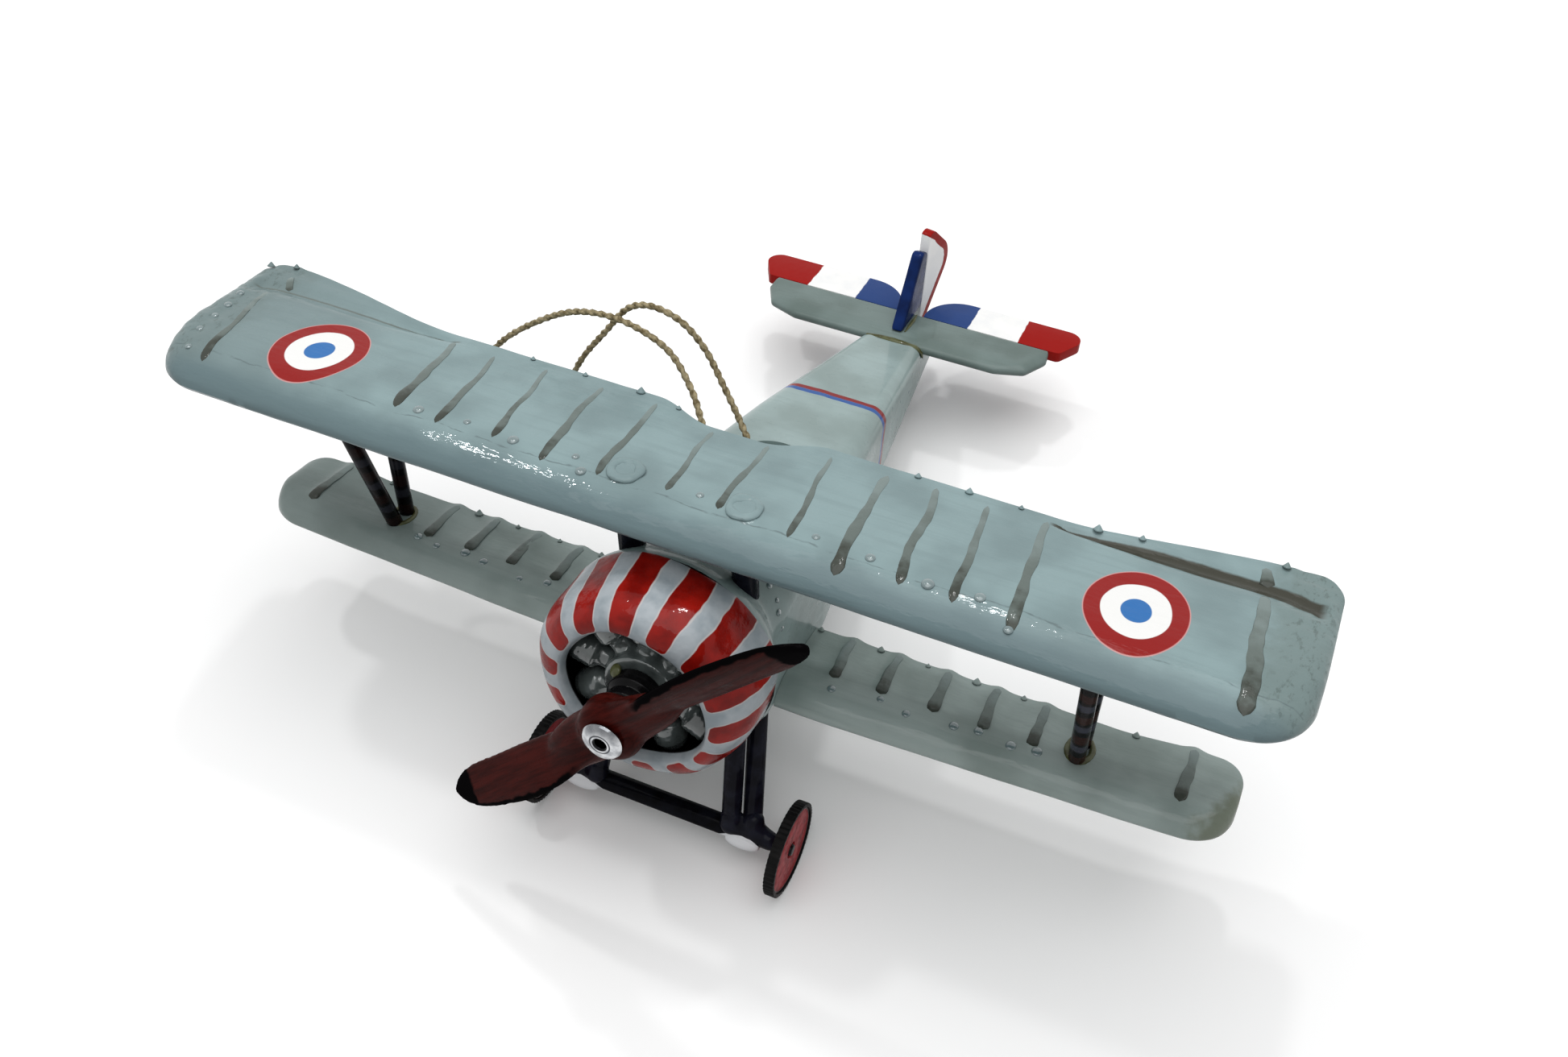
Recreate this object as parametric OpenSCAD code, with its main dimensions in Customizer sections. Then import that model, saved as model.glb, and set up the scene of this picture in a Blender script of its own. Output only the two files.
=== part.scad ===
// Hand-painted biplane ornament: a wooden sesquiplane with a radial engine, on two wheels and a tail skid
// The shapes are laid out on the thrust line, nose toward -Y, and stance() tips them up onto the ground

/* [Stance] */
// Nose-up angle of the thrust line when the model stands
ground_angle = 12; // [9:0.5:14]
// Glue line between pieces that are set into each other
fit = 0.05; // [0.02:0.01:0.1]
// Radial running clearance of the propeller and the wheels
run_fit = 0.06; // [0.03:0.01:0.1]
// Gap beside a turning piece
run_gap = 0.3; // [0.2:0.05:0.5]
// Depth of the drilled strut sockets
socket = 1.4; // [1:0.1:1.8]

/* [Cowling] */
// Outside diameter of the cowling
cowl_d = 29.6; // [28.6:0.1:31]
// Length of the cowling
cowl_l = 10.5; // [9:0.1:12]
// Diameter of the front opening
cowl_open_d = 19.2; // [17:0.1:20.5]
// Wall of the cowling at its rear edge
cowl_wall = 1.5; // [1.1:0.1:2]
// Rounding of the front lip
cowl_lip = 1.2; // [0.8:0.1:1.6]

/* [Engine] */
// Number of cylinders
cylinder_n = 9; // [7:1:11]
// Diameter of a cylinder over its fins
cylinder_d = 4.6; // [4.2:0.1:4.7]
// Diameter of a cylinder between its fins
barrel_d = 4.1; // [3.6:0.1:4.1]
// Fins on each cylinder
fin_n = 4; // [2:1:5]
// Diameter of the crankcase
crankcase_d = 10; // [9.6:0.1:11]
// Diameter of the crankcase nose behind the propeller
nose_d = 7; // [6:0.1:8]

/* [Propeller] */
// Diameter of the propeller disc
prop_d = 66; // [58:0.5:68]
// Diameter of the hub
hub_d = 8.6; // [7.5:0.1:10]
// Thickness of the hub along the shaft
hub_t = 4.4; // [3.8:0.1:5]
// Widest chord of a blade
blade_w = 7.4; // [6.4:0.1:8.2]
// Thickness of a blade at mid radius
blade_t = 1.8; // [1.3:0.1:2.2]
// Pitch of a blade at its root
pitch_root = 42; // [34:1:46]
// Pitch of a blade at its tip
pitch_tip = 30; // [22:1:34]
// Bow of a blade's middle toward its leading edge
blade_bow = 1.1; // [0:0.1:1.6]
// Angle at which the propeller is left standing
prop_rest = 45; // [0:1:90]
// Diameter of the tubular rivet's shank
rivet_d = 2.6; // [2.2:0.1:3]
// Diameter of the rivet's flange
rivet_flange_d = 5.4; // [4.6:0.1:6]
// Diameter of the hole down the rivet
rivet_bore_d = 1.5; // [1:0.1:1.8]

/* [Upper wing] */
// Span of the upper wing
upper_span = 150; // [140:1:160]
// Chord of the upper wing
upper_chord = 24.1; // [23:0.1:25.4]
// Thickness of the upper wing
upper_t = 4; // [3.4:0.1:4.6]
// Leading edge of the upper wing behind the cowling's lip plane
upper_le = 5.6; // [4.6:0.1:6.6]
// Height of the upper wing's middle over the thrust line
upper_z = 21.4; // [20:0.1:24]
// Extra chord at the tips, behind the ailerons
tip_flare = 4.2; // [2.6:0.1:5]
// Radius of the leading-edge corner at the tip
tip_r = 8; // [6:0.1:10]
// Width of the trailing-edge cut-out over the cockpit
cutout_w = 24; // [20:0.5:28]
// Depth of that cut-out
cutout_l = 2.8; // [1.5:0.1:3.5]
// Inner end of the ailerons from the centre line
aileron_x = 41; // [38:0.5:48]
// Carved aileron line ahead of the trailing edge
aileron_chord = 1.4; // [1.2:0.1:2.4]
// Width of the carved aileron line
groove_d = 1; // [0.6:0.1:1.3]

/* [Lower wing] */
// Span of the lower wing
lower_span = 143; // [134:1:150]
// Chord of the lower wing
lower_chord = 14.6; // [13.4:0.1:15.8]
// Thickness of the lower wing
lower_t = 3.2; // [2.8:0.1:3.4]
// Leading edge of the lower wing's root behind the cowling's lip plane
lower_le = 16.6; // [16:0.1:17.6]
// Sweep of the lower wing's leading edge from root to tip
lower_sweep = 2; // [0:0.1:3]
// Depth of the lower wing's middle under the thrust line
lower_drop = 10.2; // [9.6:0.1:10.6]

/* [Struts] */
// Diameter of the interplane struts
strut_d = 2.2; // [1.8:0.1:2.4]
// Distance of the interplane struts from the centre line
strut_x = 51; // [46:0.5:56]
// Foot of the V behind the lower wing's leading edge
strut_foot = 8.2; // [7.4:0.1:8.8]
// Head of the front leg behind the upper wing's leading edge
strut_front = 6.6; // [5:0.1:8]
// Head of the rear leg behind the upper wing's leading edge
strut_rear = 17.4; // [16:0.1:18]
// Diameter of the cabane struts
cabane_d = 3.4; // [2.8:0.1:3.8]
// Distance of the cabane struts from the centre line
cabane_x = 7.8; // [7:0.1:8.6]
// Foot of the cabane struts behind the cowling's lip plane
cabane_foot = 14.6; // [13.5:0.1:16]
// Head of the cabane struts behind the upper wing's leading edge
cabane_head = 6.8; // [6:0.1:9]
// Height of the dowel end over the upper wing
cabane_boss = 0.4; // [0.2:0.05:0.6]
// Depth of the cabane sockets' floor under the deck line
cabane_sink = 5; // [4:0.1:5.6]

/* [Fuselage] */
// Width of the fuselage along its parallel nose
body_w = 23.6; // [22.6:0.1:25]
// Width of the fuselage at the tail
tail_w = 8.4; // [7:0.1:10]
// Length of the fuselage from the cowling's rear edge
body_l = 90; // [86:0.5:94]
// Height of the deck over the thrust line at the nose
deck_z = 12.2; // [11.8:0.1:12.8]
// Depth of the belly under the thrust line at the nose
belly_z = 12.4; // [12.2:0.1:13]
// Depth of the belly under the thrust line at the tail
tail_belly = 8.2; // [7.2:0.1:9]
// Length of the spigot that holds the cowling
spigot_l = 3.4; // [2.8:0.1:3.6]
// Cockpit width
cockpit_w = 9; // [7:0.1:10]
// Cockpit length
cockpit_l = 11; // [10.2:0.1:13]
// Cockpit depth
cockpit_depth = 3.4; // [2.5:0.1:3.8]

/* [Landing gear] */
// Wheel diameter over the tread
wheel_d = 13.4; // [12.6:0.1:14.4]
// Wheel width
wheel_w = 1.5; // [1.4:0.1:1.8]
// Distance between the wheels' mid-planes
track = 37; // [36:0.1:40]
// Radial thickness of the tyre
tyre_t = 1; // [0.8:0.1:1.4]
// Notches in the tread
tread_n = 56; // [40:1:64]
// Axle diameter
axle_d = 1.2; // [1:0.05:1.4]
// Axle behind the cowling's lip plane
axle_y = 8.6; // [8:0.1:9.4]
// Axle under the thrust line
axle_drop = 28.6; // [27.5:0.1:30]
// Diameter of the gear legs
leg_d = 2.7; // [2.4:0.1:2.8]
// Diameter of the spreader bar that the axle runs through
bar_d = 2.8; // [2.5:0.1:3]
// Diameter of the tail skid
skid_d = 2.6; // [2:0.1:3.2]

/* [Tail] */
// Span of the tailplane
stab_span = 49; // [44:0.5:54]
// Chord of the tailplane
stab_chord = 9; // [8:0.1:10]
// Thickness of the tailplane
stab_t = 2.2; // [1.8:0.1:2.8]
// Span over the elevators
elev_span = 56; // [52:0.5:60]
// Chord of the elevators
elev_chord = 7.4; // [6.5:0.1:8.2]
// Thickness of the tail's moving surfaces
elev_t = 1.7; // [1.3:0.1:2]
// Joint of the elevators ahead of the fuselage's end
tail_set = 0.5; // [0.2:0.1:1.2]
// Thickness of the fin
tail_fin_t = 2; // [1.6:0.1:2.4]
// Height of the fin over the tailplane
tail_fin_h = 11.2; // [9:0.1:13]
// Height of the rudder over the tailplane
rudder_h = 13.4; // [12:0.1:15]
// Chord of the rudder
rudder_chord = 7.4; // [6:0.1:8.5]
// Set of the rudder toward the port side
rudder_set = 12; // [0:1:16]

/* [Hanging loop] */
// Twine diameter
twine_d = 1; // [0.8:0.05:1.2]
// Wire of the screw eye
eye_wire = 0.9; // [0.7:0.05:1]
// Diameter of the screw eye to the middle of its wire
eye_d = 3.4; // [3:0.1:4]
// Screw eye behind the cowling's lip plane
eye_y = 31.5; // [30.5:0.1:32.5]

/* [Hidden] */
$fn = 48;

// Colours of the paint and the bare pieces
paint = [0.50, 0.60, 0.60];
paint_dark = [0.42, 0.49, 0.48];
navy = [0.09, 0.10, 0.15];
black = [0.05, 0.05, 0.06];

// Place of the model on the ground: the origin is under the middle of its length
wheel_r = wheel_d / 2;
axle_z = -axle_drop;
lift = wheel_r + axle_y * sin(ground_angle) - axle_z * cos(ground_angle);
mid_y = 48.1;
module stance() {
  translate([0, -mid_y, lift]) rotate([-ground_angle, 0, 0]) children();
}

// Helpers: blends, a point past the end of a line, a rod, mirrored halves and a skin over a stack of rings
function lerp(a, b, t) = a + (b - a) * t;
function clamp01(t) = min(1, max(0, t));
function smooth(t) = let(u = clamp01(t)) u * u * (3 - 2 * u);
function unit(v) = v / norm(v);
function past(a, b, e) = b + unit(b - a) * e;
module rod(a, b, d) {
  v = b - a;
  h = norm(v);
  translate(a) rotate([0, acos(v[2] / h), atan2(v[1], v[0])]) cylinder(h = h, d = d);
}
module side(s) {
  if (s > 0) children();
  else mirror([1, 0, 0]) children();
}
module along_y() {
  rotate([-90, 0, 0]) children();
}
module skin(rings) {
  m = len(rings);
  n = len(rings[0]);
  points = [for (r = rings) each r];
  walls = [for (i = [0 : m - 2], j = [0 : n - 1])
    let(a = i * n + j, b = i * n + (j + 1) % n, c = b + n, d = a + n) each [[a, d, c], [a, c, b]]];
  first = [for (j = [0 : n - 1]) j];
  last = [for (j = [n - 1 : -1 : 0]) (m - 1) * n + j];
  polyhedron(points, concat([first], walls, [last]), convexity = 6);
}

// Wing section: an elliptical nose that droops, and a straight taper to the trailing edge
nose_u = 0.22;
droop_u = 0.36;
edge_t = 1.1;
section_n = 10;
function droop(u, t) = u < droop_u ? -0.4 * t * pow(1 - u / droop_u, 2) : 0;
function half_t(u, t) = u < nose_u
  ? t / 2 * sqrt(max(0, 1 - pow(1 - u / nose_u, 2)))
  : lerp(t / 2, edge_t / 2, (u - nose_u) / (1 - nose_u));
function chord_u(i) = (1 - cos(180 * i / section_n)) / 2;
function wing_ring(x, le, te, z, t, k) = concat(
  [for (i = [section_n : -1 : 0]) let(u = chord_u(i))
    [x, lerp(le, te, u), z + droop(u, t) + k * half_t(u, t)]],
  [for (i = [1 : section_n]) let(u = chord_u(i))
    [x, lerp(le, te, u), z + droop(u, t) - k * half_t(u, t)]]);
function round_in(x, end, r) = let(s = clamp01((x - end + r) / r)) r * (1 - sqrt(max(0, 1 - s * s)));
function edge_k(x, end, r) = let(s = clamp01((x - end + r) / r)) sqrt(1 - 0.97 * s * s);

// Upper wing outline
upper_half = upper_span / 2;
te_corner = 3.6;
function upper_le_at(x) = upper_le + round_in(abs(x), upper_half, tip_r);
function upper_te_at(x) = upper_le + upper_chord
  + tip_flare * smooth((abs(x) - aileron_x) / (upper_half - aileron_x - te_corner))
  - cutout_l * smooth(1.4 - abs(x) * 2.8 / cutout_w)
  - round_in(abs(x), upper_half, te_corner);
function upper_u(x, y) = (y - upper_le_at(x)) / (upper_te_at(x) - upper_le_at(x));
function upper_top(x, y) = let(u = upper_u(x, y)) upper_z + droop(u, upper_t) + half_t(u, upper_t);
function upper_under(x, y) = let(u = upper_u(x, y)) upper_z + droop(u, upper_t) - half_t(u, upper_t);
upper_half_x = concat([0, 3, 6, 9, 12], [for (i = [0 : 6]) lerp(18, upper_half - tip_r, i / 6)],
  [for (a = [20 : 14 : 80]) upper_half - tip_r * (1 - sin(a))], [upper_half]);
upper_x = concat([for (i = [len(upper_half_x) - 1 : -1 : 1]) -upper_half_x[i]], upper_half_x);

// Lower wing outline, butted against the flat sides of the nose
lower_half = lower_span / 2;
lower_root = body_w / 2 + fit;
lower_z = -lower_drop;
lower_tip_r = 6;
sweep_x = 20;
lower_flare = 1;
function lower_le_at(x) = lower_le + lower_sweep * clamp01((x - sweep_x) / (lower_half - 1.2 * sweep_x))
  + round_in(x, lower_half, lower_tip_r);
function lower_te_at(x) = lower_le + lower_chord + lower_flare * smooth((x - strut_x - 3) / 12)
  - round_in(x, lower_half, te_corner);
function lower_top(x, y) = let(u = (y - lower_le_at(x)) / (lower_te_at(x) - lower_le_at(x)))
  lower_z + droop(u, lower_t) + half_t(u, lower_t);
lower_x = concat([for (i = [0 : 5]) lerp(lower_root, lower_half - lower_tip_r, i / 5)],
  [for (a = [20 : 14 : 80]) lower_half - lower_tip_r * (1 - sin(a))], [lower_half]);

// Fuselage lines: round behind the cowling, slab-sided at the wing, then a straight taper to the tail
cowl_front = -1;
body_y = cowl_front + cowl_l;
body_end = body_y + body_l;
taper_y = lower_le + lower_chord + 3;
flare_end = lower_le - 1.5;
nose_step = 0.3;
nose_r = cowl_d / 2 - nose_step;
function taper(y) = clamp01((y - taper_y) / (body_end - taper_y));
function flare(y) = 1 - smooth((y - body_y) / (flare_end - body_y));
function body_half(y) = lerp(lerp(body_w / 2, tail_w / 2, taper(y)), nose_r, flare(y));
stab_seat = -1.6;
tail_rise = 0.2;
deck_break = lower_le + 9.4;
belly_run = 26;
round_r = nose_r - 0.3;
deck_corner = 0.32 * body_w;
tail_corner = 2;
belly_corner = 1.2;
function deck_fall(y) = clamp01((y - deck_break) / (body_end - deck_break));
function deck_line(y) = lerp(deck_z, stab_seat + tail_rise, deck_fall(y));
function deck(y) = lerp(deck_line(y), nose_r, flare(y));
function belly(y) = -lerp(lerp(belly_z, tail_belly, smooth((y - taper_y) / belly_run)), nose_r, flare(y));
function deck_r(y) = lerp(lerp(deck_corner, tail_corner, taper(y)), round_r, flare(y));
function belly_r(y) = lerp(belly_corner, round_r, flare(y));
corner_n = 7;
function corner(x, z, r, from) = [for (i = [0 : corner_n]) let(a = from + 90 * i / corner_n)
  [-(x + r * cos(a)), z + r * sin(a)]];
function body_ring(y, k) = let(w = body_half(y) * k, t = deck(y), b = belly(y) * k, r = deck_r(y) * k,
  q = belly_r(y) * k) [for (p = concat(corner(w - r, t - r, r, 0), corner(r - w, t - r, r, 90),
    corner(q - w, b + q, q, 180), corner(w - q, b + q, q, 270))) [p[0], y, p[1]]];
body_stations = concat([for (i = [0 : 5]) lerp(body_y, flare_end, i / 5)], [deck_break, taper_y],
  [for (i = [1 : 6]) lerp(taper_y, body_end - 1.6, i / 6)]);

// Strut ends, each set into its socket
strut_gap = 0.2;
strut_foot_y = lower_le + strut_foot;
function strut_low(f) = let(y = strut_foot_y + f * (strut_d / 2 + strut_gap))
  [strut_x, y, lower_top(strut_x, y) - socket];
function strut_high(y) = [strut_x, upper_le + y, upper_under(strut_x, upper_le + y) + socket * 0.9];
front_low = strut_low(-1);
front_high = strut_high(strut_front);
rear_low = strut_low(1);
rear_high = strut_high(strut_rear);
cabane_top_y = upper_le + cabane_head;
cabane_high = [cabane_x, cabane_top_y, upper_top(cabane_x, cabane_top_y) + cabane_boss];
cabane_low = [cabane_x, cabane_foot, deck_z - cabane_sink];

// Landing gear points: each front leg stands on the bar inside its rear leg
foot_up = 0.45;
front_x = body_w / 2 - 1.6;
rear_x = front_x + leg_d + 0.2;
bar_x = rear_x + leg_d / 2 + 0.3;
leg_step = 0.3;
gear_front_top = [front_x - 1.6, body_y + 2.6, -belly_z + socket + 0.6];
gear_front_low = [front_x, axle_y - leg_step, axle_z + foot_up];
gear_rear_top = [rear_x - 3.5, body_y + 7.4, -belly_z + socket];
gear_rear_low = [rear_x, axle_y + leg_step, axle_z + foot_up];
wheel_in = track / 2 - wheel_w / 2;
wheel_out = wheel_in + wheel_w;
cap_t = 0.5;
axle_end = wheel_out - cap_t - fit;

// Silver shoes under the ends of the bar
shoe_l = 5;
shoe_d = 2.4;
shoe_y = axle_y - 0.7;
shoe_z = axle_z - 0.9;

// Tail
stab_z = stab_seat + fit + stab_t / 2;
hinge_y = body_end - tail_set;
stab_le = hinge_y - stab_chord;
fin_base = stab_z + stab_t / 2 + fit;
rudder_y = hinge_y + 2.6;
rudder_low = stab_z - 2.4;
skid_y = body_end - 6;
skid_top = [0, skid_y, belly(skid_y) + socket];
skid_rake = 3;
skid_low = [0, skid_y + skid_rake, axle_z - 1.4];

// Engine and propeller stations along the thrust line
engine_back = body_y - spigot_l - fit;
cylinder_y = engine_back - cylinder_d / 2 - 0.1;
head_r = cowl_d / 2 - cowl_wall - 1.9;
case_front = cylinder_y - cylinder_d / 2 - 0.4;
prop_back = -3.6;
nose_front = prop_back + run_gap;
prop_front = prop_back - hub_t;
rivet_in = 2.4;

// Screw eye and the route of the twine, which passes through the eye and lies behind the upper wing
eye_shank = 3;
eye_z = deck(eye_y) + eye_d / 2 + eye_wire / 2 + 0.3;
twine_route = [[0, 31.5, 0], [0.6, 29.4, -0.1], [0.2, 27.4, 0.9], [-1.6, 26.5, 2.2], [-3.8, 27.6, 3.6],
  [-6, 30, 5.4], [-9, 32.6, 8.4], [-13.2, 34, 12.2], [-19.5, 34, 14.5], [-26, 34, 14], [-32, 34, 10.8],
  [-38.5, 34.2, 5.2], [-43, 35, -2], [-44.5, 36, -8], [-42, 37.2, -12.5], [-37.5, 38, -13], [-33, 38, -8.5],
  [-28.6, 38, 2.6], [-24.2, 38, 9.4], [-21, 38, 13.8], [-17.5, 38, 15.2],
  [-13.2, 38, 14.2], [-9.6, 38, 11], [-6.4, 37.2, 6.8], [-3, 35.8, 2.7], [-0.5, 33.7, 0.5]];
twine_steps = 3;
twine_sides = 8;
twine_lay = [0.45, 0.75, 0.5];
twine_gap = 0.2;
function wrap(v, i) = v[(i + len(v)) % len(v)];
function curve(p, q, r, s, t) = 0.5 * (2 * q + (r - p) * t + (2 * p - 5 * q + 4 * r - s) * t * t
  + (3 * q - p - 3 * r + s) * t * t * t);
twine_z = eye_z + eye_d / 2 - eye_wire / 2 - twine_d / 2 - twine_gap;
twine_line = [for (i = [0 : len(twine_route) - 1], k = [0 : twine_steps - 1])
  curve(wrap(twine_route, i - 1), wrap(twine_route, i), wrap(twine_route, i + 1), wrap(twine_route, i + 2),
    k / twine_steps) + [0, 0, twine_z]];
function twine_ring(i) = let(d = unit(wrap(twine_line, i + 1) - wrap(twine_line, i - 1)),
  n = unit(cross(d, twine_lay)), b = cross(d, n))
  [for (j = [0 : twine_sides - 1]) let(a = 360 * j / twine_sides)
    twine_line[i] + twine_d / 2 * (cos(a) * n + sin(a) * b)];

module cabane_bore() {
  rod(past(cabane_high, cabane_low, fit), past(cabane_low, cabane_high, 1), cabane_d + 2 * fit);
}
module leg_sockets() {
  rod(gear_front_top + [0, 0, fit], gear_front_low, leg_d + 2 * fit);
  rod(gear_rear_top + [0, 0, fit], gear_rear_low, leg_d + 2 * fit);
}
module axle_line(x0, x1, d) {
  translate([x0, axle_y, axle_z]) rotate([0, 90, 0]) cylinder(h = x1 - x0, d = d);
}
module bar_line(d) {
  axle_line(-bar_x, bar_x, d);
}
module shoes(grow) {
  r = shoe_d / 2 + grow;
  h = shoe_l + 2 * grow;
  for (s = [-1, 1]) translate([s * (bar_x - shoe_l / 2), shoe_y, shoe_z]) rotate([0, 90, 0]) rotate_extrude()
    polygon([for (a = [-90 : 15 : 90]) [r * (abs(a) < 90 ? cos(a * 0.8) : 0), h / 2 * sin(a)]]);
}

// Fuselage: the carved body with its spigot, cockpit, strut sockets and the flat seat of the tailplane
cockpit_y = eye_y + 2.4;
module cockpit() {
  r = cockpit_w / 2;
  y0 = cockpit_y + r;
  y1 = cockpit_y + cockpit_l - r;
  translate([0, 0, deck(y1) - cockpit_depth]) {
    translate([0, y0, 0]) cylinder(h = 20, r = r);
    translate([0, y1, 0]) cylinder(h = 20, r = r);
    translate([-r, y0, 0]) cube([cockpit_w, y1 - y0, 20]);
  }
}
module fuselage() {
  color(paint) stance() difference() {
    union() {
      skin([for (y = body_stations) body_ring(y, 1), body_ring(body_end, 0.8)]);
      translate([0, body_y - spigot_l, 0]) along_y()
        cylinder(h = spigot_l + 1, d = cowl_d - 2 * cowl_wall - 2 * fit);
    }
    cockpit();
    for (s = [-1, 1]) side(s) {
      cabane_bore();
      leg_sockets();
    }
    translate([0, eye_y, deck(eye_y) - eye_shank - fit]) cylinder(h = 8, d = eye_wire + 2 * fit);
    rod(skid_low, past(skid_low, skid_top, fit), skid_d + 2 * fit);
    translate([-20, stab_le - 0.6, stab_seat]) cube([40, 30, 20]);
  }
}

// Cowling: a revolved shell with a rounded nose and a rolled lip
module cowling() {
  r_out = cowl_d / 2;
  r_open = cowl_open_d / 2;
  r_in = r_out - cowl_wall;
  r_lip = r_open + cowl_lip * 0.7;
  full = cowl_front + cowl_l * 0.66;
  lip_back = cowl_front + cowl_lip * 1.3;
  outside = [for (a = [0 : 10 : 90]) [lerp(r_lip, r_out, sin(a)), full - (full - cowl_front) * cos(a)]];
  inside = [for (a = [90 : -10 : 0]) [lerp(r_open, r_in, sin(a)), full - (full - lip_back) * cos(a)]];
  lip = [for (a = [75 : -15 : 15]) [lerp(r_lip, r_open, sin(a)), lerp(cowl_front, lip_back, 1 - cos(a))]];
  color([0.68, 0.72, 0.76]) stance() along_y() rotate_extrude()
    polygon(concat(outside, [[r_out, body_y - fit], [r_in, body_y - fit]], inside, lip));
}

// Engine: fat domed cylinders with shallow fins, cast in a ring round the crankcase
cylinder_neck = 3;
dome_h = 1.4;
module engine() {
  low = crankcase_d / 2 - 0.4;
  fin_low = crankcase_d / 2 + 1.9;
  dome_low = head_r - dome_h;
  pitch = (dome_low - fin_low) / fin_n;
  r_n = cylinder_neck / 2;
  r_b = barrel_d / 2;
  r_f = cylinder_d / 2;
  fins = [for (i = [0 : fin_n - 1]) let(z = fin_low + i * pitch)
    each [[r_b, z], [r_f, z + 0.15 * pitch], [r_f, z + 0.6 * pitch], [r_b, z + 0.75 * pitch]]];
  dome = [for (a = [0 : 18 : 72]) [r_b * cos(a), dome_low + dome_h * sin(a)]];
  color([0.30, 0.31, 0.32]) stance() union() {
    for (i = [0 : cylinder_n - 1]) rotate([0, i * 360 / cylinder_n, 0]) translate([0, cylinder_y, 0])
      rotate_extrude($fn = 32) polygon(concat([[0, low], [r_n, low], [r_n, fin_low - 0.4]], fins, dome,
        [[0, head_r]]));
    translate([0, case_front, 0]) along_y() cylinder(h = engine_back - case_front, d = crankcase_d);
  }
}

// Nose of the crankcase, a stepped black boss with a socket for the rivet
module crankcase_nose() {
  r = nose_d / 2;
  color(black) stance() along_y() difference() {
    rotate_extrude() polygon([[0, nose_front], [r - 1.2, nose_front], [r - 0.7, nose_front + 0.5],
      [r - 0.7, nose_front + 1.8], [r, nose_front + 2.4], [r, case_front - fit], [0, case_front - fit]]);
    translate([0, 0, nose_front - 1]) cylinder(h = 1 + rivet_in + fit, d = rivet_d + 2 * fit);
  }
}

// Tubular rivet that the propeller turns on
module prop_rivet() {
  r = rivet_flange_d / 2;
  r_s = rivet_d / 2;
  back = prop_front - run_gap;
  face = back - 0.8;
  color([0.85, 0.86, 0.88]) stance() along_y() rotate_extrude()
    polygon([[rivet_bore_d / 2, face + 0.2], [rivet_bore_d / 2 + 0.25, face], [r * 0.7, face + 0.05],
      [r * 0.92, face + 0.3], [r, back - 0.15], [r - 0.1, back], [r_s, back], [r_s, nose_front + rivet_in],
      [rivet_bore_d / 2, nose_front + rivet_in]]);
}

// Propeller: two twisted blades that grow out of a thick rounded hub
blade_steps = 14;
blade_from = 0.06;
blade_wide = 0.5;
tip_from = 0.82;
function blade_plan(t) = t < blade_wide
  ? lerp(0.66, 1, smooth(t / blade_wide))
  : lerp(1, 0.8, smooth((t - blade_wide) / (1 - blade_wide)));
function blade_round(t) = sqrt(max(0.03, 1 - pow(clamp01((t - tip_from) / (1 - tip_from)), 2)));
function blade_chord(t) = blade_w * blade_plan(t) * blade_round(t);
function blade_thick(t) = blade_t * lerp(1.9, 1, smooth(t / 0.4)) * lerp(1, 0.55, clamp01((t - 0.5) / 0.5));
function blade_pitch(t) = lerp(pitch_root, pitch_tip, smooth(t));
blade_sides = 14;
function blade_ring(t) = let(p = blade_pitch(t), c = blade_chord(t) / 2, h = blade_thick(t) / 2,
  bow = blade_bow * sin(180 * t))
  [for (j = [0 : blade_sides - 1]) let(a = 360 * j / blade_sides, u = bow + c * cos(a), v = h * sin(a))
    [t * prop_d / 2, -u * sin(p) - v * cos(p), u * cos(p) - v * sin(p)]];
prop_mid = (prop_back + prop_front) / 2;
module propeller() {
  r = hub_d / 2;
  color([0.25, 0.09, 0.07]) stance() rotate([0, -prop_rest, 0]) difference() {
    union() {
      for (s = [0, 180]) rotate([0, s, 0]) translate([0, prop_mid, 0])
        skin([for (i = [0 : blade_steps]) blade_ring(lerp(blade_from, 1, sin(90 * i / blade_steps)))]);
      along_y() rotate_extrude() polygon([[0, prop_front], [r - 1.2, prop_front],
        [r - 0.4, prop_front + 0.4], [r, prop_front + 1.2], [r, prop_back - 0.9],
        [r - 0.3, prop_back - 0.3], [r - 0.9, prop_back], [0, prop_back]]);
    }
    translate([0, prop_front - 5, 0]) along_y() cylinder(h = 20, d = rivet_d + 2 * run_fit);
  }
}

// Upper wing: a thick drooped plate with rounded tips, a cockpit cut-out and carved aileron lines
groove_turn = 0.6;
function groove_at(x, y) = [x, y, upper_top(x, y) + groove_d * 0.15];
module upper_wing() {
  hinge = upper_le + upper_chord - aileron_chord;
  out_x = upper_half - 2.4;
  color(paint) stance() difference() {
    skin([for (x = upper_x) wing_ring(x, upper_le_at(x), upper_te_at(x), upper_z, upper_t,
      edge_k(abs(x), upper_half, 2.6))]);
    for (s = [-1, 1]) side(s) {
      cabane_bore();
      rod(front_low, past(front_low, front_high, fit), strut_d + 2 * fit);
      rod(rear_low, past(rear_low, rear_high, fit), strut_d + 2 * fit);
      rod(groove_at(aileron_x, hinge), groove_at(out_x, hinge - groove_turn), groove_d);
    }
  }
}

// Lower wing halves
module lower_wing(s) {
  color(paint_dark) stance() side(s) difference() {
    skin([for (x = lower_x) wing_ring(x, lower_le_at(x), lower_te_at(x), lower_z, lower_t,
      edge_k(x, lower_half, 2.2))]);
    rod(front_high, past(front_high, front_low, fit), strut_d + 2 * fit);
    rod(rear_high, past(rear_high, rear_low, fit), strut_d + 2 * fit);
  }
}
module lower_wing_left() {
  lower_wing(1);
}
module lower_wing_right() {
  lower_wing(-1);
}

// V struts between the wings
module interplane(s, low, high) {
  color(black) stance() side(s) rod(low, high, strut_d);
}
module interplane_front_left() {
  interplane(1, front_low, front_high);
}
module interplane_front_right() {
  interplane(-1, front_low, front_high);
}
module interplane_rear_left() {
  interplane(1, rear_low, rear_high);
}
module interplane_rear_right() {
  interplane(-1, rear_low, rear_high);
}

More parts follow.
